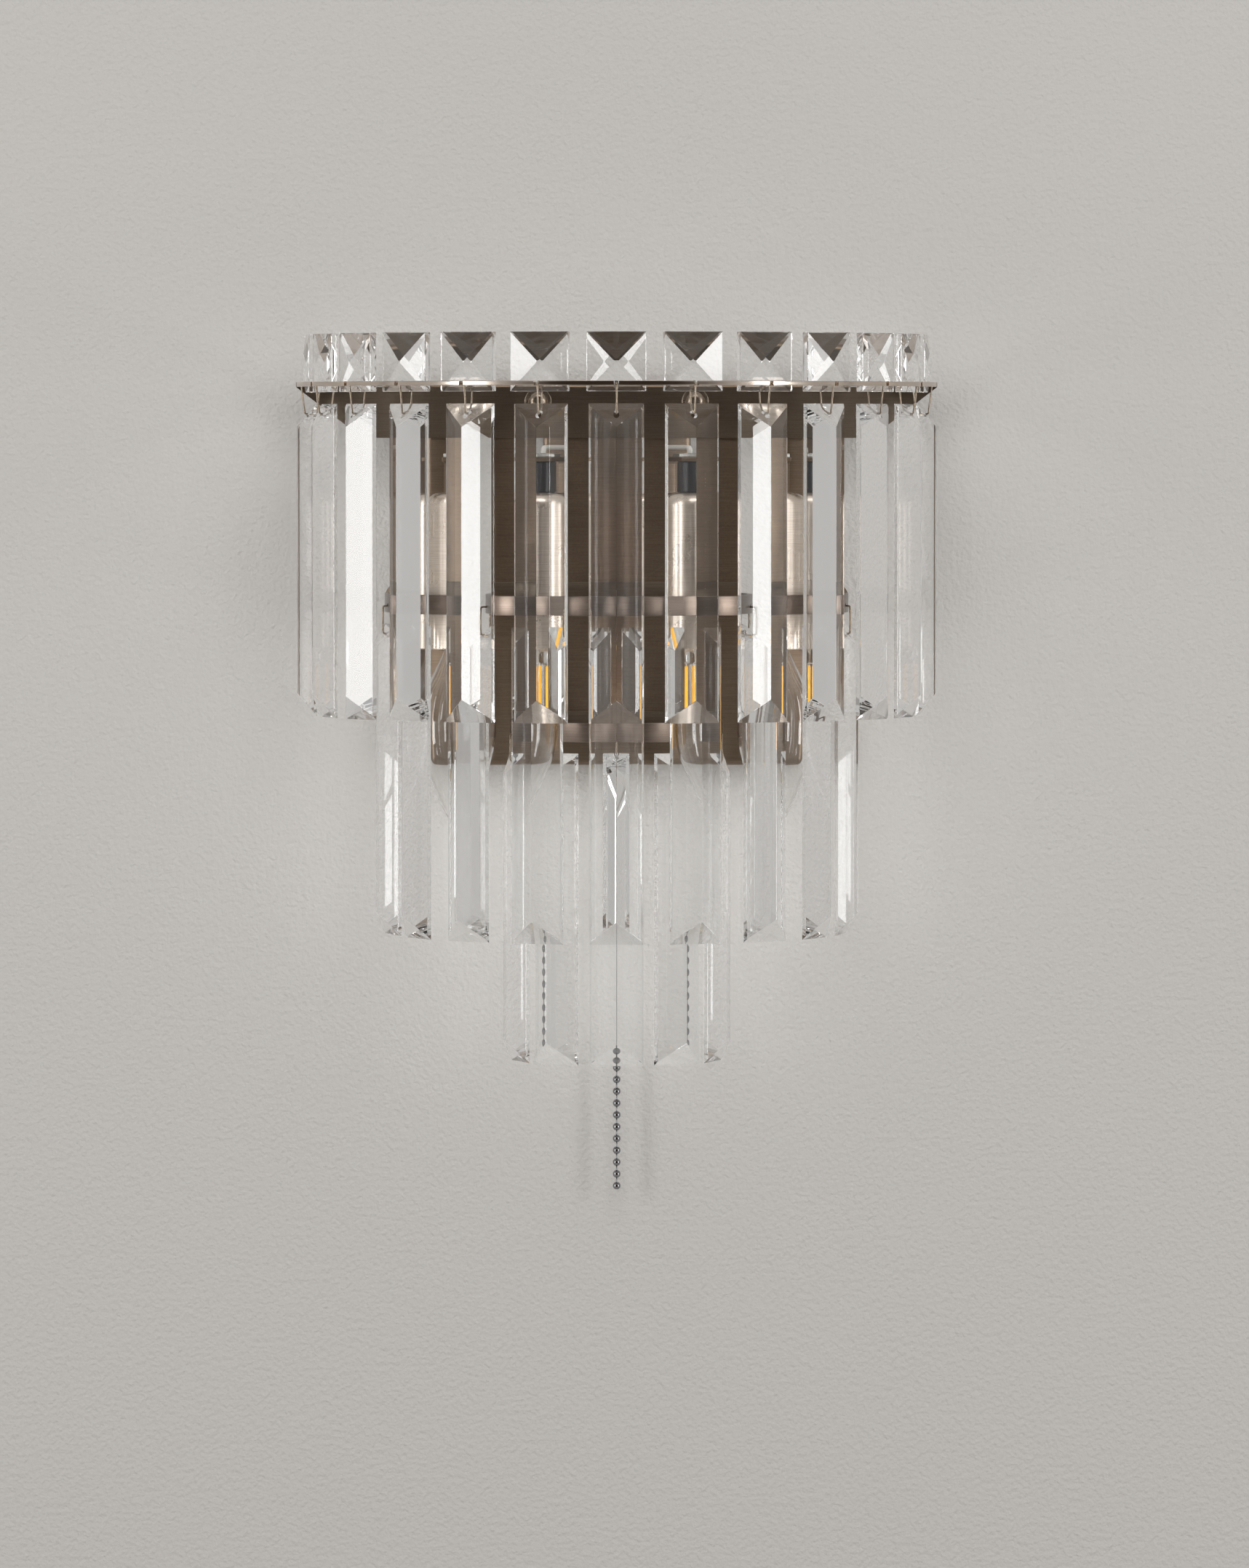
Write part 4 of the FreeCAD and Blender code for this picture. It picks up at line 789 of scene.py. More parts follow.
# %% Prism sizes
PRISM_LENGTH = 150.0
PRISM_WIDTH = 26.0
PRISM_DEPTH = 9.0
PRISM_EDGE = 1.5
PRISM_SHOULDER = 1.0
PRISM_BEVEL = 11.0
WIRE_DROP = 5.1
HOLE_RADIUS = 1.4
HOLE_SINK = 0.5
ARRIS = 0.12


def prism_bar():
    """The five-sided bar with sloped ends; the wire's place in it is the local origin."""
    half_width = PRISM_WIDTH / 2
    shoulder = half_width - PRISM_SHOULDER
    section = [(-half_width, 0), (half_width, 0), (shoulder, PRISM_EDGE), (0, PRISM_DEPTH),
               (-shoulder, PRISM_EDGE)]
    back = WIRE_DROP / PRISM_BEVEL * PRISM_DEPTH / 2
    work = bmesh.new()
    rings = []
    for end in (0, 1):
        ring = []
        for across, out in section:
            slope = out / PRISM_DEPTH * PRISM_BEVEL
            level = WIRE_DROP - slope if end == 0 else WIRE_DROP - PRISM_LENGTH + slope
            ring.append(work.verts.new((across * MM, (back - out) * MM, level * MM)))
        rings.append(ring)
    skin(work, rings)
    work.faces.new(reversed(rings[0]))
    work.faces.new(rings[1])
    return mesh_of(work)


prism_mesh = machined(prism_bar(), ARRIS, drill(HOLE_RADIUS, at(z=-HOLE_SINK)))
print(f"prism: {len(prism_mesh.polygons)} faces")

# %% Prism tiers
TURN_SPREAD = 2.5
OWN_TURNS = {"mid_prism_01": 9.0, "top_prism_07": 0.0, "mid_prism_05": 0.0, "low_prism_03": 0.7}
dice = random.Random(7)

for tier, (count, step, ring) in TIERS.items():
    for number, angle in enumerate(station_angles(count, step), start=1):
        name = f"{tier}_prism_{number:02d}"
        top = box_mm(name)[1][2]
        turn = math.radians(OWN_TURNS.get(name, dice.uniform(-TURN_SPREAD, TURN_SPREAD)))
        data = prism_mesh.copy()
        data.transform(station(angle, ring, top - WIRE_DROP, turn))
        piece(f"{name}_crystal", data, "crystal_glass", name, body=name, angle=FACET_ANGLE)

# %% [markdown]
# ## Square crystals
# Each square is a flat girdle with a low pyramid on both faces. The polished pyramids meet in a
# tiny facet. A Geometry Nodes tree sets the thirteen copies round the plate.

# %% Square crystals
SQUARE_SIDE = 28.0
SQUARE_GIRDLE = 3.5
SQUARE_RISE = 3.1
SQUARE_FACET = 0.8
SQUARE_ARRIS = 0.35
SQUARE_HOLE = 0.9
squares_middle = box_mm("square_crystals")[0][2] + SQUARE_SIDE / 2


def square_blank():
    """One square about its own middle, its faces towards the front and the back."""
    work = bmesh.new()
    rings = []
    half = SQUARE_SIDE / 2
    girdle = SQUARE_GIRDLE / 2
    for reach, y in ((SQUARE_FACET / 2, -girdle - SQUARE_RISE), (half, -girdle), (half, girdle),
                     (SQUARE_FACET / 2, girdle + SQUARE_RISE)):
        corners = ((-reach, -reach), (reach, -reach), (reach, reach), (-reach, reach))
        rings.append([work.verts.new((x * MM, y * MM, z * MM)) for x, z in corners])
    skin(work, rings)
    work.faces.new(rings[0])
    work.faces.new(reversed(rings[-1]))
    return mesh_of(work)


square_hole = drill(SQUARE_HOLE, at(z=box_mm("wire_loops")[1][2] - squares_middle))
square = add_object("square", machined(square_blank(), SQUARE_ARRIS, square_hole, segments=2))
count, step, ring = TIERS["top"]
squares = grown(bpy.data.meshes.new("squares"), ring_tree("crystal_glass"), Pattern=square,
                Count=count, Step=math.radians(step), Radius=ring * MM, Centre_Y=TIER_Y * MM,
                Height=squares_middle * MM)
bpy.data.objects.remove(square)
piece("square_crystal_row", squares, "crystal_glass", "square_crystals", angle=FACET_ANGLE)

# %% [markdown]
# ## The three tiers' metal
# The top plate is a flat half ring with a slot for each square and a slit for each wire. The
# two bands are bent strips whose straight ends run back to the pan, and behind each of them a
# flat strip with round ends is screwed to the pan.

# %% Top plate and flange
plate_low, plate_high = box_mm("top_tier_plate")
PLATE_RADIUS = plate_high[0]
PLATE_THICK = plate_high[2] - plate_low[2]
PLATE_WIDTH = 22.0
SLOT_SIDE = (28.3, 6.0)
SLIT_START = 142.6
SLIT_WIDTH = 2.3
SLIT_REACH = 30.0
CUT_REACH = 20.0
SHEET_ARRIS = 0.25
STUD_HOLE = 2.3


def cut_sheet(data, *tools):
    """A sheet with the small round arris of its kind, and with its holes."""
    return machined(data, SHEET_ARRIS, *tools, segments=2)


def bar_between(low, high):
    """A block between two corners in millimetres, as a mesh."""
    work = bmesh.new()
    bmesh.ops.create_cube(work, size=1)
    size = [(b - a) * MM for a, b in zip(low, high)]
    middle = [(a + b) / 2 for a, b in zip(low, high)]
    bmesh.ops.scale(work, vec=size, verts=work.verts)
    bmesh.ops.translate(work, vec=[v * MM for v in middle], verts=work.verts)
    return mesh_of(work)


def half_round(radius, back):
    """Plan points of a half circle about the tiers' axis, with straight ends back to a line."""
    return [(-radius, back), *arc((0, TIER_Y), radius, 180, 360, 128), (radius, back)]


def lying(plan, thick, top):
    """A level sheet cut to a plan of (x, y), its upper face at a height."""
    data = sheet_cut([(x, -y) for x, y in plan], thick)
    data.transform(at(z=top) @ TO_FRONT)
    return data


plan = half_round(PLATE_RADIUS, PAN_FRONT) + half_round(PLATE_RADIUS - PLATE_WIDTH, PAN_FRONT)[::-1]
half_ring = lying(plan, PLATE_THICK, plate_high[2])
slot = bar_between((-SLOT_SIDE[0] / 2, -SLOT_SIDE[1] / 2, -CUT_REACH),
                   (SLOT_SIDE[0] / 2, SLOT_SIDE[1] / 2, CUT_REACH))
slit = bar_between((-SLIT_WIDTH / 2, -SLIT_REACH, -CUT_REACH), (SLIT_WIDTH / 2, 0, CUT_REACH))
angles = station_angles(*TIERS["top"][:2])
slots = add_object("slots", joined(*[(slot, station(a, TIERS["top"][2])) for a in angles]))
slits = add_object("slits", joined(*[(slit, station(a, SLIT_START)) for a in angles]))
piece("top_plate", cut_sheet(half_ring, slots, slits), "polished_bronze", "top_tier_plate")

flange_low, flange_high = box_mm("top_tier_flange")
FLANGE_TAPER = 32.0
SHEET = flange_high[1] - flange_low[1]
half = flange_high[0]
outline = [(-half + FLANGE_TAPER, flange_low[2]), (half - FLANGE_TAPER, flange_low[2]),
           (half, flange_high[2]), (-half, flange_high[2])]
flange = cut_sheet(sheet_cut(outline, SHEET),
                   drill(STUD_HOLE, at(-STUD_X), at(STUD_X), length=10))
flange.transform(at(y=PAN_FRONT))
# The flange's darker bronze is painted shade from the plate above it.
piece("back_flange", flange, "satin_bronze", "top_tier_flange")

# %% Bands and strips
BAND_THICK = 1.5
BAND_ARRIS = 0.3
BAND_HOLE = 0.9
BAND_HOLE_DROP = 5.7
SCREW_HOLE = 1.7
STRIP_FRONT = PAN_FRONT - SHEET

for tier in ("mid", "low"):
    count, step, ring = TIERS[tier]
    low, high = box_mm(f"{tier}_tier_band")
    plan = half_round(high[0], STRIP_FRONT) + half_round(high[0] - BAND_THICK, STRIP_FRONT)[::-1]
    holes = drill(BAND_HOLE, *[station(a, ring, high[2] - BAND_HOLE_DROP)
                               for a in station_angles(count, step)], length=8)
    band = lying(plan, high[2] - low[2], high[2])
    band = machined(band, BAND_ARRIS, holes, segments=2)
    piece(f"{tier}_band", band, "band_bronze", f"{tier}_tier_band")
    low, high = box_mm(f"{tier}_tier_strip")
    round_end = (high[2] - low[2]) / 2
    straight = high[0] - round_end
    outline = [*arc((straight, 0), round_end, -90, 90, 16),
               *arc((-straight, 0), round_end, 90, 270, 16)]
    strip = cut_sheet(sheet_cut(outline, SHEET), drill(SCREW_HOLE, at(), length=10))
    strip.transform(at(y=PAN_FRONT, z=(low[2] + high[2]) / 2))
    # The strip's darker bronze is painted shade from the band in front of it.
    piece(f"{tier}_strip", strip, "satin_bronze", f"{tier}_tier_strip")

# %% [markdown]
# ## Fasteners
# The screws have a domed head with a slot, each turned its own way, and the two cap nuts have a
# wide foot and a dome. All are turned about Z and then laid to face the front.

# %% Screws and cap nuts
strip_z = {tier: sum(c[2] for c in box_mm(f"{tier}_tier_strip")) / 2 for tier in ("mid", "low")}
ARM_THICK = 2.0
ARM_SCREW_Z = -44.0

head = lathe([(0, -4.5), (1.2, -4.5), (1.5, -4.1), (1.5, 0), (3.25, 0), (3.25, 1.0),
              *arc((2.15, 1.1), 1.1, 0, 90), (0, 2.2)], 48)
groove = add_object("groove", bar_between((-4, -0.45, 1.3), (4, 0.45, 3)))
head = machined(head, 0, groove)
screw_spots = [(0, STRIP_FRONT, strip_z["mid"], 20), (0, STRIP_FRONT, strip_z["low"], -65),
               (-LAMP_X, PAN_FRONT - ARM_THICK, ARM_SCREW_Z, 50),
               (LAMP_X, PAN_FRONT - ARM_THICK, ARM_SCREW_Z, 100)]
heads = [(head, at(x, y, z) @ TO_FRONT @ Matrix.Rotation(math.radians(turn), 4, "Z"))
         for x, y, z, turn in screw_spots]
piece("screw_heads", joined(*heads), "dark_nut", "pan_screws")

nut = lathe([(2.2, 0), (6.5, 0), (6.5, 0.9), *arc((6.2, 0.9), 0.3, 0, 90, 3), (4.7, 1.2),
             (4.5, 1.5), (4.5, 4.0), *arc((1.5, 4.0), 3.0, 0, 90, 10), (0, 7.0)])
nuts = [(nut, at(side * STUD_X, STRIP_FRONT, 0) @ TO_FRONT) for side in (-1, 1)]
piece("domed_nuts", joined(*nuts), "dark_nut", "cap_nuts")

# %% [markdown]
# ## Wire hooks
# Every prism hangs on a closed loop of thin wire, bent by hand, so no two are quite alike. Each
# path is a chain of edges, and a Geometry Nodes tree runs the round wire along all of them.

# %% Wire hooks
WIRE_RADIUS = 0.45
WIRE_SIDES = 10
# Each loop's width at its top and at its foot, and its drop.
HOOK_SIZES = {"top": (9.0, 6.0, 14.2), "mid": (6.0, 6.0, 13.4), "low": (6.0, 6.0, 13.4)}
HOOK_BEND = 1.0
HOOK_YAW = {"top": 5, "mid": 12, "low": 12}
HOOK_KINK = 0.22
HOLE_PLAY = 0.1
loops_top = {"top": box_mm("wire_loops")[1][2] - WIRE_RADIUS}
for tier in ("mid", "low"):
    loops_top[tier] = (box_mm(f"{tier}_tier_band")[1][2] - BAND_HOLE_DROP
                       - (BAND_HOLE - WIRE_RADIUS - HOLE_PLAY))


def hook_path(upper, lower, drop):
    """Points of one loop in the plane x = 0, its round corners joined by slightly bowed legs."""
    corners = [(upper / 2, 0), (lower / 2, -drop), (-lower / 2, -drop), (-upper / 2, 0)]
    starts = (90, 0, -90, -180)
    points = []
    for n, ((out, level), first) in enumerate(zip(corners, starts)):
        inner_out = out - HOOK_BEND if out > 0 else out + HOOK_BEND
        inner_level = level - HOOK_BEND if n in (0, 3) else level + HOOK_BEND
        bend = arc((inner_out, inner_level), HOOK_BEND, first, first - 90, 4)
        points += [Vector((0, -p, q)) for p, q in bend]
        if n % 2 == 0:
            following = Vector((0, -corners[n + 1][0], corners[n + 1][1]))
            middle = (points[-1] + following) / 2
            kink = [dice.uniform(-HOOK_KINK, HOOK_KINK) for _ in range(2)]
            points.append(middle + Vector((*kink, 0)))
    return points


work = bmesh.new()
for tier, (count, step, ring) in TIERS.items():
    for angle in station_angles(count, step):
        yaw = math.radians(dice.uniform(-HOOK_YAW[tier], HOOK_YAW[tier]))
        place = station(angle, ring, loops_top[tier], yaw)
        verts = [work.verts.new(place @ (p * MM)) for p in hook_path(*HOOK_SIZES[tier])]
        for n, vert in enumerate(verts):
            work.edges.new((vert, verts[(n + 1) % len(verts)]))
hooks = grown(written(work), wire_tree("hook_wire"), Radius=WIRE_RADIUS * MM, Sides=WIRE_SIDES)
piece("wire_hooks", hooks, "hook_wire", "wire_loops", angle=ROUND_ANGLE)

# %% [markdown]
# ## Pan and wall bracket
# The pan is bent from one sheet: its five faces get round bends and then their thickness, and
# its holes are drilled last. Behind it the bracket is screwed to the wall and holds the studs.

# %% Pan
PAN_WALL = 1.2
PAN_BEND = 3.0
BUSHING_HOLE = 4.9
LEAD_HOLE = 2.6
LEAD_Z = -22.3


def pan_shell():
    """The pan's outer faces, open at the wall, with round bends and the sheet's thickness."""
    data = bar_between(pan_low, pan_high)
    work = bmesh.new()
    work.from_mesh(data)
    back = [f for f in work.faces if f.calc_center_median().y > -0.001 * MM]
    bmesh.ops.delete(work, geom=back, context="FACES_ONLY")
    shell = bevelled(add_object("shell", written(work, data)), PAN_BEND, 6)
    sheet = shell.modifiers.new("sheet", "SOLIDIFY")
    sheet.thickness = PAN_WALL * MM
    sheet.offset = -1
    return finished_mesh(shell)


front_holes = [
    drill(STUD_HOLE, at(-STUD_X, PAN_FRONT), at(STUD_X, PAN_FRONT), length=8),
    drill(LEAD_HOLE, at(-LAMP_X, PAN_FRONT, LEAD_Z), at(LAMP_X, PAN_FRONT, LEAD_Z), length=8),
    drill(SCREW_HOLE, *[at(x, PAN_FRONT, z) for x, y, z, turn in screw_spots], length=8),
    drill(BUSHING_HOLE, at(0, CHAIN_Y, pan_low[2]) @ TO_FRONT, length=8),
]
piece("wall_pan", machined(pan_shell(), 0, *front_holes), "brushed_bronze", "backplate_pan")

# %% Bracket and studs
BRACKET_CORNER = 4.0
BRACKET_HOLE = 6.0
WALL_SCREW_X = 24.0
STUD_RADIUS = 2.0
STUD_PLAIN = 2.0

low, high = box_mm("wall_bracket")
left, right = low[0] + BRACKET_CORNER, high[0] - BRACKET_CORNER
bottom, top = low[2] + BRACKET_CORNER, high[2] - BRACKET_CORNER
outline = []
for n, centre in enumerate(((right, bottom), (right, top), (left, top), (left, bottom))):
    outline += arc(centre, BRACKET_CORNER, 90 * n - 90, 90 * n)
bracket = cut_sheet(
    sheet_cut(outline, high[1] - low[1]), drill(BRACKET_HOLE, at(), length=10),
    drill(STUD_HOLE, at(-WALL_SCREW_X), at(WALL_SCREW_X), length=10))
piece("wall_strap", bracket, "zinc_steel", "wall_bracket")

stud_reach = -box_mm("bracket_studs")[0][1]
stud = threaded(STUD_RADIUS, 0.3, 0.7, stud_reach - STUD_PLAIN)
plain = lathe([(0, 0), (STUD_RADIUS, 0), (STUD_RADIUS, STUD_PLAIN),
               (STUD_RADIUS - 0.2, STUD_PLAIN)], 40)
tip = lathe([(0, 0.02), (STUD_RADIUS - 0.3, 0)], 40)
upside_down = Matrix.Rotation(math.pi, 4, "X")
studs = []
for x in (-STUD_X, STUD_X):
    studs += [(stud, at(x, -STUD_PLAIN) @ TO_FRONT @ upside_down), (plain, at(x) @ TO_FRONT),
              (tip, at(x, -stud_reach) @ TO_FRONT)]
piece("threaded_studs", joined(*studs), "zinc_steel", "bracket_studs")

# %% [markdown]
# ## Lamp holders
# Each lamp hangs under a bent strap: a hollow threaded nipple runs through the strap, a black
# neck, the spun cup and the holder, with a nut on top. They are turned pieces, made once and
# set at the left and the right.

# %% Lamp holders
LAMP_SPOTS = [(-LAMP_X, LAMP_Y), (LAMP_X, LAMP_Y)]
ARM_TOP = -27.0
ARM_BEND = 3.5
NIPPLE_RADIUS = 4.8
NIPPLE_THREAD = 0.35
NECK_RADIUS = 5.5
THREAD_ROOM = NIPPLE_RADIUS + 0.15
CUP_WALL = 1.0
CUP_SHOULDER = 6.0
NUT_CORNER = 7.5


def lamp_pair(name, data, top, finish, node):
    """A piece that is made once and set at both lamps, its own zero at a height."""
    piece(name, joined(*[(data, at(x, y, top)) for x, y in LAMP_SPOTS]), finish, node)


def arm_strap():
    """The strap from the side: the tab against the pan, a round bend, and the level run."""
    arms_low, arms_high = box_mm("lamp_arms")
    inner = ARM_BEND - ARM_THICK
    centre = (-PAN_FRONT + ARM_BEND, ARM_TOP - ARM_BEND)
    outside = arc(centre, ARM_BEND, 180, 90)
    inside = arc(centre, inner, 90, 180)
    side = [(-PAN_FRONT, arms_low[2]), *outside, (-arms_low[1], ARM_TOP),
            (-arms_low[1], ARM_TOP - ARM_THICK), *inside,
            (-PAN_FRONT + ARM_THICK, arms_low[2])]
    width = (arms_high[0] - arms_low[0]) - 2 * LAMP_X
    strap = sheet_cut(side, width)
    strap.transform(Matrix.Rotation(-math.pi / 2, 4, "Z") @ at(y=width / 2))
    return strap


nose_hole = drill(THREAD_ROOM, at(0, LAMP_Y, ARM_TOP) @ TO_FRONT, length=10)
tab_hole = drill(SCREW_HOLE, at(0, PAN_FRONT, ARM_SCREW_Z), length=10)
strap = machined(arm_strap(), BAND_ARRIS, nose_hole, tab_hole, segments=2)
piece("bent_arms", joined(*[(strap, at(x)) for x, y in LAMP_SPOTS]), "brushed_bronze",
      "lamp_arms")

low, high = box_mm("lamp_necks")
foot = low[2] - high[2]
neck = lathe([(THREAD_ROOM, 0), (NECK_RADIUS - 0.5, 0), (NECK_RADIUS, -0.5),
              (NECK_RADIUS, foot + 0.5), (NECK_RADIUS - 0.5, foot), (THREAD_ROOM, foot)],
             closed=True)
lamp_pair("black_necks", neck, high[2], "black_metal", "lamp_necks")

low, high = box_mm("lamp_nipples")
length = high[2] - low[2]
root = NIPPLE_RADIUS - NIPPLE_THREAD
thread = threaded(NIPPLE_RADIUS, NIPPLE_THREAD, 1.0, length)
inside = lathe([(root, 0), (3.2, 0), (3.0, -0.2), (3.0, 0.2 - length), (3.2, -length),
                (root, -length)], 40)
nipple = joined((thread, at()), (inside, at()))
lamp_pair("threaded_nipples", nipple, high[2], "zinc_steel", "lamp_nipples")

low, high = box_mm("arm_ring_nuts")
hexagon = lying(arc((0, 0), NUT_CORNER, 30, 330, 5), high[2] - low[2], high[2])
hexagon = cut_sheet(hexagon, drill(THREAD_ROOM, at() @ TO_FRONT))
lamp_pair("hexagon_nuts", hexagon, 0, "zinc_steel", "arm_ring_nuts")

cup_height = cup_high[2] - cup_low[2]
shoulder = (CUP_RADIUS - CUP_SHOULDER, -CUP_SHOULDER)
cup = lathe([
    (NIPPLE_RADIUS + 0.2, 0), *arc(shoulder, CUP_SHOULDER, 90, 0, 12),
    (CUP_RADIUS, -cup_height + 0.4),
    *arc((CUP_RADIUS - CUP_WALL / 2, -cup_height + CUP_WALL / 2), CUP_WALL / 2, 0, -180),
    *arc(shoulder, CUP_SHOULDER - CUP_WALL, 0, 90, 12), (NIPPLE_RADIUS + 0.2, -CUP_WALL)],
    128, closed=True)
lamp_pair("spun_cups", cup, cup_high[2], "spun_bronze", "lamp_cups")

low, high = box_mm("lamp_sockets")
depth = high[2] - low[2]
socket_edge = arc((7.0, -5.0), 5.0, 90, 0, 8)
socket = lathe([
    (THREAD_ROOM, 0), *socket_edge, (12.0, -22.0), (11.5, -22.5), (11.5, -24.0), (12.0, -24.5),
    (12.0, -depth + 0.6), (11.4, -depth), (7.6, -depth), (7.1, -depth + 0.5), (7.1, -50.5),
    (THREAD_ROOM, -49.5)], closed=True)
lamp_pair("bulb_holders", socket, high[2], "white_socket", "lamp_sockets")

# %% [markdown]
# ## Candle bulbs
# A bulb turns as one body: a threaded brass cap with its contact, the thin blown candle, a glass
# stem, and four straight coated filaments held between small wire crosses.

# %% Bulbs
GLASS_WALL = 0.8
CAP_RADIUS = 6.8
CAP_ROOT = CAP_RADIUS - 0.7
CAP_RIM = CAP_RADIUS - 0.4
CANDLE_LEAST = 0.02
FILAMENT_RING = 4.0
STICK_LENGTH = 40.0
COLLAR = 1.2
WIRE = 0.25
# How far down the glass, and how wide there, as parts of its length and its widest radius.
CANDLE = ((0.0, 0.33), (0.06, 0.34), (0.16, 0.56), (0.28, 0.86), (0.43, 1.0), (0.6, 0.93),
          (0.78, 0.62), (0.93, 0.26), (1.0, 0.0))


def candle_profile(length, widest, steps=12):
    """A smooth candle outline through its marked widths, from the neck down to the tip."""
    marks = [CANDLE[0], *CANDLE, (CANDLE[-1][0], -CANDLE[-2][1])]
    points = []
    for a, b, c, d in zip(marks, marks[1:], marks[2:], marks[3:]):
        for n in range(steps):
            t = n / steps
            down, out = [((2 * b[k]) + (c[k] - a[k]) * t
                          + (2 * a[k] - 5 * b[k] + 4 * c[k] - d[k]) * t * t
                          + (3 * b[k] - a[k] - 3 * c[k] + d[k]) * t ** 3) / 2 for k in (0, 1)]
            points.append((max(out, CANDLE_LEAST) * widest, -down * length))
    return [*points, (0, -length)]


def candle_glass(length, widest):
    """The blown glass: the outline outside, the same outline drawn in by the wall inside."""
    outside = candle_profile(length, widest)
    inside = candle_profile(length - GLASS_WALL, widest - GLASS_WALL)
    return lathe(outside + inside[::-1], 96, closed=True)


for side, lamp in zip(("left", "right"), LAMP_SPOTS):
    body = f"bulb_{side}"
    low, high = box_mm(f"bulb_glass_{side}")
    glass = candle_glass(high[2] - low[2], (high[0] - low[0]) / 2)
    glass.transform(at(*lamp, high[2]))
    piece(f"candle_glass_{side}", glass, "bulb_glass", f"bulb_glass_{side}", body=body,
          angle=ROUND_ANGLE)

    thread = threaded(CAP_RADIUS, CAP_RADIUS - CAP_ROOT, 3.2, 15.5)
    skirt = lathe([(CAP_ROOT, -19.3), (CAP_RADIUS, -19.8), (CAP_RADIUS, -22.0),
                   (CAP_RIM, -22.0), (CAP_RIM, -19.8)])
    crown = lathe([(0, 0), (2.4, 0), (3.0, -0.6), (3.0, -2.0), (4.2, -2.4),
                   (CAP_ROOT, -4.0)])
    cap = joined((thread, at(z=-4.0)), (skirt, at()), (crown, at()))
    cap.transform(at(*lamp, box_mm(f"bulb_cap_{side}")[1][2]))
    piece(f"threaded_cap_{side}", cap, "bulb_cap_brass", f"bulb_cap_{side}", body=body)

    low, high = box_mm(f"bulb_filaments_{side}")
    stem = lathe([(0, 0), (5.0, 0), (5.0, -1.0), (2.6, -3.0), (2.2, -11.0), (1.4, -12.5),
                  (0, -13.0)], 32)
    stem.transform(at(*lamp, high[2]))
    piece(f"glass_stem_{side}", stem, "bulb_glass", f"bulb_filaments_{side}", body=body)
    stick_top = low[2] + COLLAR + STICK_LENGTH
    stick = lathe([(0, 0), (0.5, -0.1), (0.7, -0.5), (0.7, 0.5 - STICK_LENGTH),
                   (0.5, 0.1 - STICK_LENGTH), (0, -STICK_LENGTH)], 20)
    foot = rod(WIRE, COLLAR, 0, 10)
    spoke = rod(WIRE, 0, FILAMENT_RING, 10)
    mast = rod(WIRE, stick_top + COLLAR, low[2], 10)
    sticks = []
    wires = [(mast, at(*lamp))]
    for quarter in range(4):
        turn = math.radians(45 + 90 * quarter)
        x = lamp[0] + FILAMENT_RING * math.cos(turn)
        y = lamp[1] + FILAMENT_RING * math.sin(turn)
        sticks.append((stick, at(x, y, stick_top)))
        outward = Matrix.Rotation(turn, 4, "Z") @ Matrix.Rotation(math.pi / 2, 4, "Y")
        for level, foot_low in ((stick_top + COLLAR, stick_top), (low[2] + WIRE, low[2])):
            wires.append((spoke, at(*lamp, level) @ outward))
            wires.append((foot, at(x, y, foot_low)))
    piece(f"filament_sticks_{side}", joined(*sticks), "filament", body=body)
    piece(f"filament_wires_{side}", joined(*wires), "zinc_steel", body=body)

# %% [markdown]
# ## Pull switch and chain
# The switch sits on the pan's floor. A brass bell nut holds it there and guides the ball chain,
# whose beads and short wires are strung by a Geometry Nodes tree.

# %% Switch and chain
CASE_ARRIS = 0.8
ROD_HOLE = 1.6
BUSHING_RADIUS = 4.75
BUSHING_THREAD = 0.4
BEAD_COUNT = 34
BEAD_MOUTH = 0.45

low, high = box_mm("switch_body")
pan_floor = pan_low[2] + PAN_WALL
case = bar_between((low[0], low[1], pan_floor), high)
rod_hole = drill(ROD_HOLE, at(0, CHAIN_Y, pan_low[2]) @ TO_FRONT, length=30)
case = machined(case, CASE_ARRIS, rod_hole, segments=3)
bushing = threaded(BUSHING_RADIUS, BUSHING_THREAD, 1.0, pan_floor - low[2])
mouth = lathe([(BUSHING_RADIUS - BUSHING_THREAD, 0), (ROD_HOLE, 0), (ROD_HOLE, 12.0)], 40)
switch = joined((case, at()), (bushing, at(0, CHAIN_Y, pan_floor)),
                (mouth, at(0, CHAIN_Y, low[2])))
piece("switch_case", switch, "black_plastic", "switch_body")

low, high = box_mm("switch_bell")
bell = lathe([
    (4.9, 0), (6.2, 0), (6.5, -0.3), (6.5, -1.7), (6.2, -2.0), (5.9, -2.3), (5.75, -3.4),
    (5.3, -5.2), (4.75, -7.0), (4.45, -8.4), *arc((3.9, -8.4), 0.6, 0, -90, 5), (2.9, -9.0),
    (2.5, -8.6), (2.5, -5.3), (4.9, -5.3)], 72, closed=True)
bell.transform(at(0, CHAIN_Y, high[2]))
piece("bell_nut", bell, "polished_brass", "switch_bell")

low, high = box_mm("switch_plunger")
rod_length = high[2] - low[2]
plunger = lathe([(0, 0), (2.2, 0), (2.5, -0.3), (2.5, -2.7), (2.2, -3.0), (1.3, -3.0),
                 (1.3, 0.5 - rod_length), (0.8, -rod_length), (0, -rod_length)], 40)
plunger.transform(at(0, CHAIN_Y, high[2]))
piece("pull_rod", plunger, "polished_brass", "switch_plunger", body="switch_plunger")

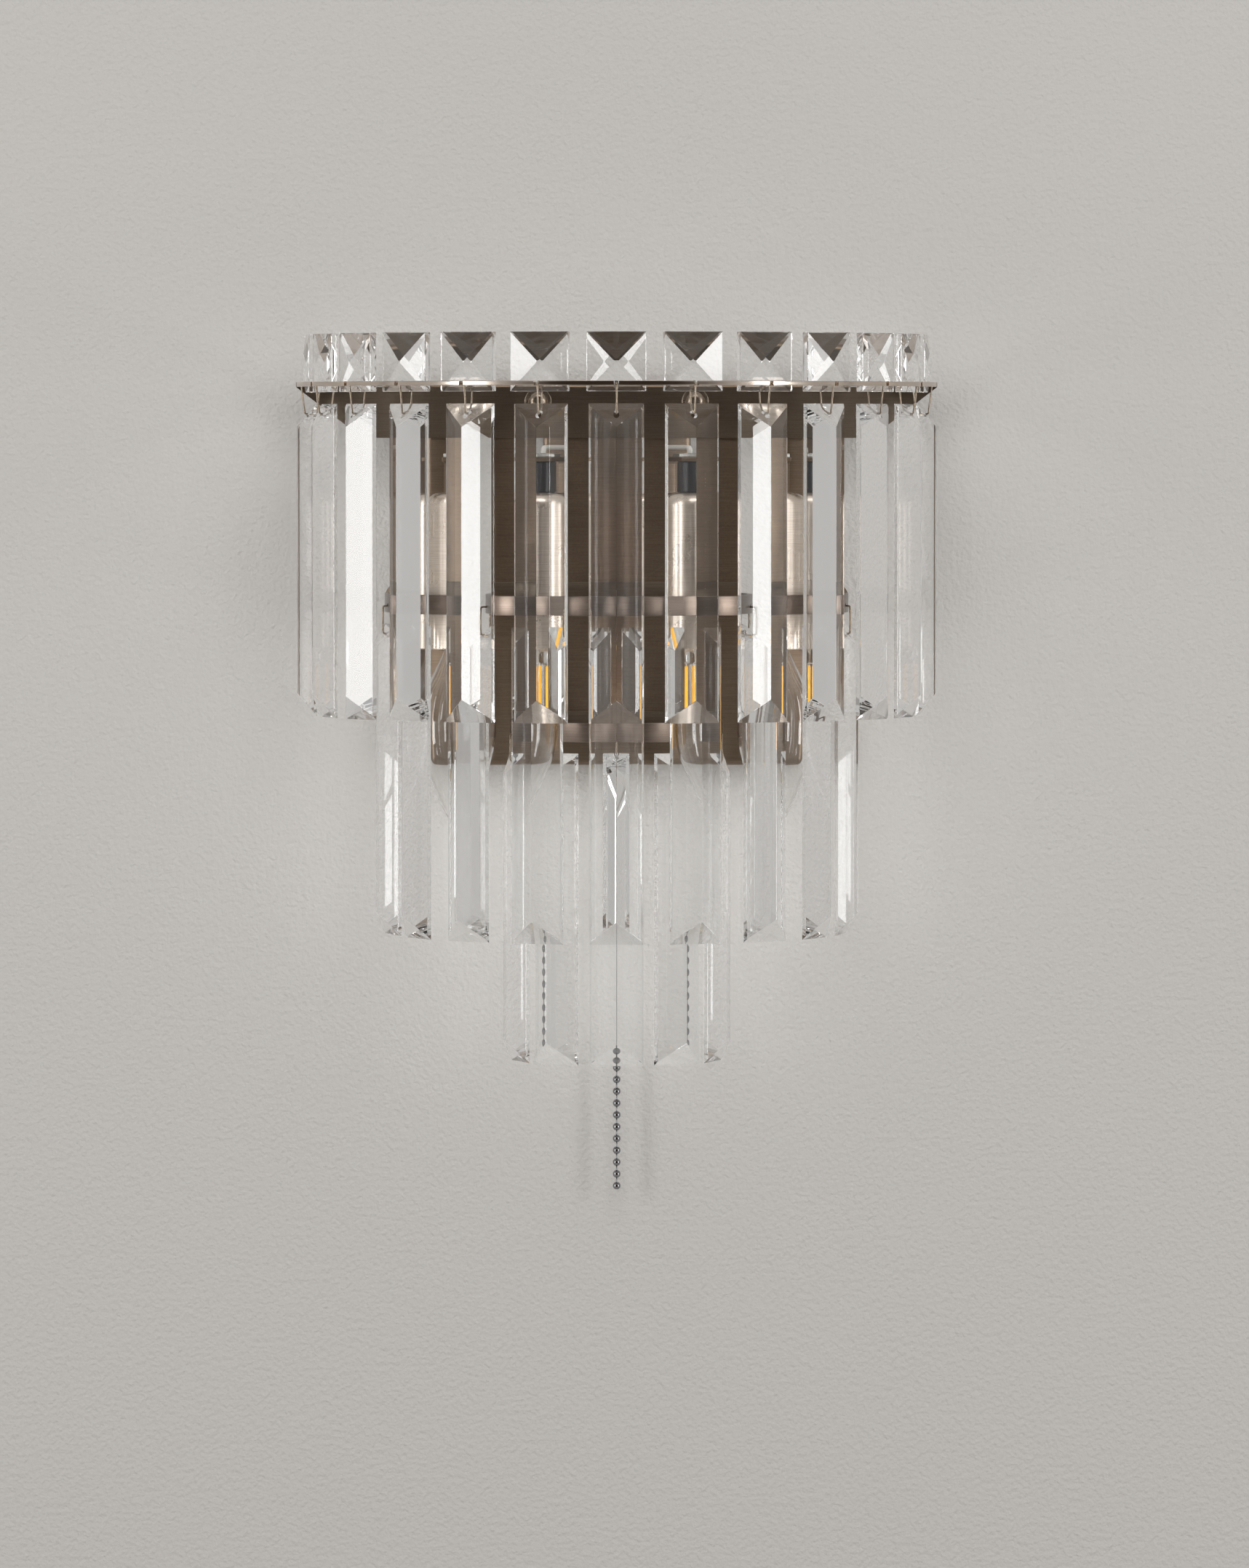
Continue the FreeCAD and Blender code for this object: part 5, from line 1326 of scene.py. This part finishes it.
low, high = box_mm("chain_beads")
bead_radius = high[0]
first = high[2] - bead_radius
pitch = (first - low[2] - bead_radius) / (BEAD_COUNT - 1)
bead = lathe([(BEAD_MOUTH, bead_radius - 0.5), *arc((0, 0), bead_radius, 72, 4, 10),
              (bead_radius - 0.05, 0), *arc((0, 0), bead_radius, -4, -72, 10),
              (BEAD_MOUTH, 0.5 - bead_radius)], 32)
beads = strung(bead, "chain_metal", BEAD_COUNT, (0, CHAIN_Y, first), (0, 0, -pitch))
piece("ball_chain", beads, "chain_metal", "chain_beads", body="pull_chain", angle=50)
gap = pitch - 2 * bead_radius
link = lathe([(BEAD_MOUTH, gap / 2 + 0.5), (0.38, gap / 2), (0.34, 0), (0.38, -gap / 2),
              (BEAD_MOUTH, -gap / 2 - 0.5)], 16)
links = strung(link, "chain_metal", BEAD_COUNT, (0, CHAIN_Y, first + pitch / 2), (0, 0, -pitch))
piece("chain_wires", links, "chain_metal", "chain_links", body="pull_chain")

# %% [markdown]
# ## Wiring in the pan
# The terminal block joins the supply to the two lamp leads. A lead's route has few points, and a
# smooth spline runs near them; it leaves the pan through a soft grommet.

# %% Terminal block, leads and grommets
BLOCK_ARRIS = 0.7
ENTRY_RADIUS = 1.2
WELL_RADIUS = 2.0
WELL_DROP = 5.0
LEAD_RADIUS = 1.2
LEAD_ROUTE = (
    (0.014, -0.0163, -0.037), (0.03213, -0.0163, -0.037), (0.05049, -0.0153, -0.0223),
    (0.0705, -0.0158, -0.0223), (0.0765, -0.0163, -0.0223), (0.0765, -0.021, -0.0223),
    (0.0765, -0.028, -0.0223), (0.0765, -0.055, -0.0223), (0.0765, -0.06, -0.0223),
    (0.0765, -0.06, -0.027), (0.0765, -0.06, -0.052),
)

low, high = box_mm("terminal_block")
case = machined(bar_between(low, high), BLOCK_ARRIS, segments=3)
spots = [(high[0] - low[0]) / 4 * n for n in (-1, 0, 1)]
entries = drill(ENTRY_RADIUS, *[at(x, (low[1] + high[1]) / 2, low[2]) @ TO_FRONT for x in spots],
                length=9)
wells = drill(WELL_RADIUS, *[at(x, high[1], high[2] - WELL_DROP) for x in spots], length=5)
piece("connector_block", machined(case, 0, entries, wells), "white_plastic", "terminal_block")

for side, sign in (("left", -1), ("right", 1)):
    curve = bpy.data.curves.new(f"lead_{side}", "CURVE")
    curve.dimensions = "3D"
    spline = curve.splines.new("NURBS")
    spline.points.add(len(LEAD_ROUTE) - 1)
    for point, (x, y, z) in zip(spline.points, LEAD_ROUTE):
        point.co = (x * sign, y, z, 1)
    spline.order_u = 3
    spline.use_endpoint_u = True
    curve.resolution_u = 16
    curve.bevel_depth = LEAD_RADIUS * MM
    curve.bevel_resolution = 5
    curve.use_fill_caps = True
    curve.materials.append(FINISH["lead_sheath"])
    lead = add_object(f"sheathed_lead_{side}", curve)
    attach(lead, BODY)
    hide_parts("lamp_leads")
    x, y, z = LEAD_ROUTE[0]

# %% Grommets
low, high = box_mm("lead_grommets")
inward = high[1] - PAN_FRONT
flange_out = PAN_FRONT - low[1]
flange_radius = (high[2] - low[2]) / 2
barrel = LEAD_HOLE - 0.05
grommet = lathe([
    (1.4, -inward + 0.2), (1.6, -inward), (LEAD_HOLE - 0.2, -inward), (barrel, -inward + 0.3),
    (barrel, 0), (flange_radius, 0), *arc((flange_radius - 0.4, flange_out - 0.4), 0.4, 0, 90),
    (1.6, flange_out), (1.4, flange_out - 0.2)], 48, closed=True)
bushings = [(grommet, at(x, PAN_FRONT, LEAD_Z) @ TO_FRONT) for x in (-LAMP_X, LAMP_X)]
piece("lead_bushings", joined(*bushings), "black_rubber", "lead_grommets")
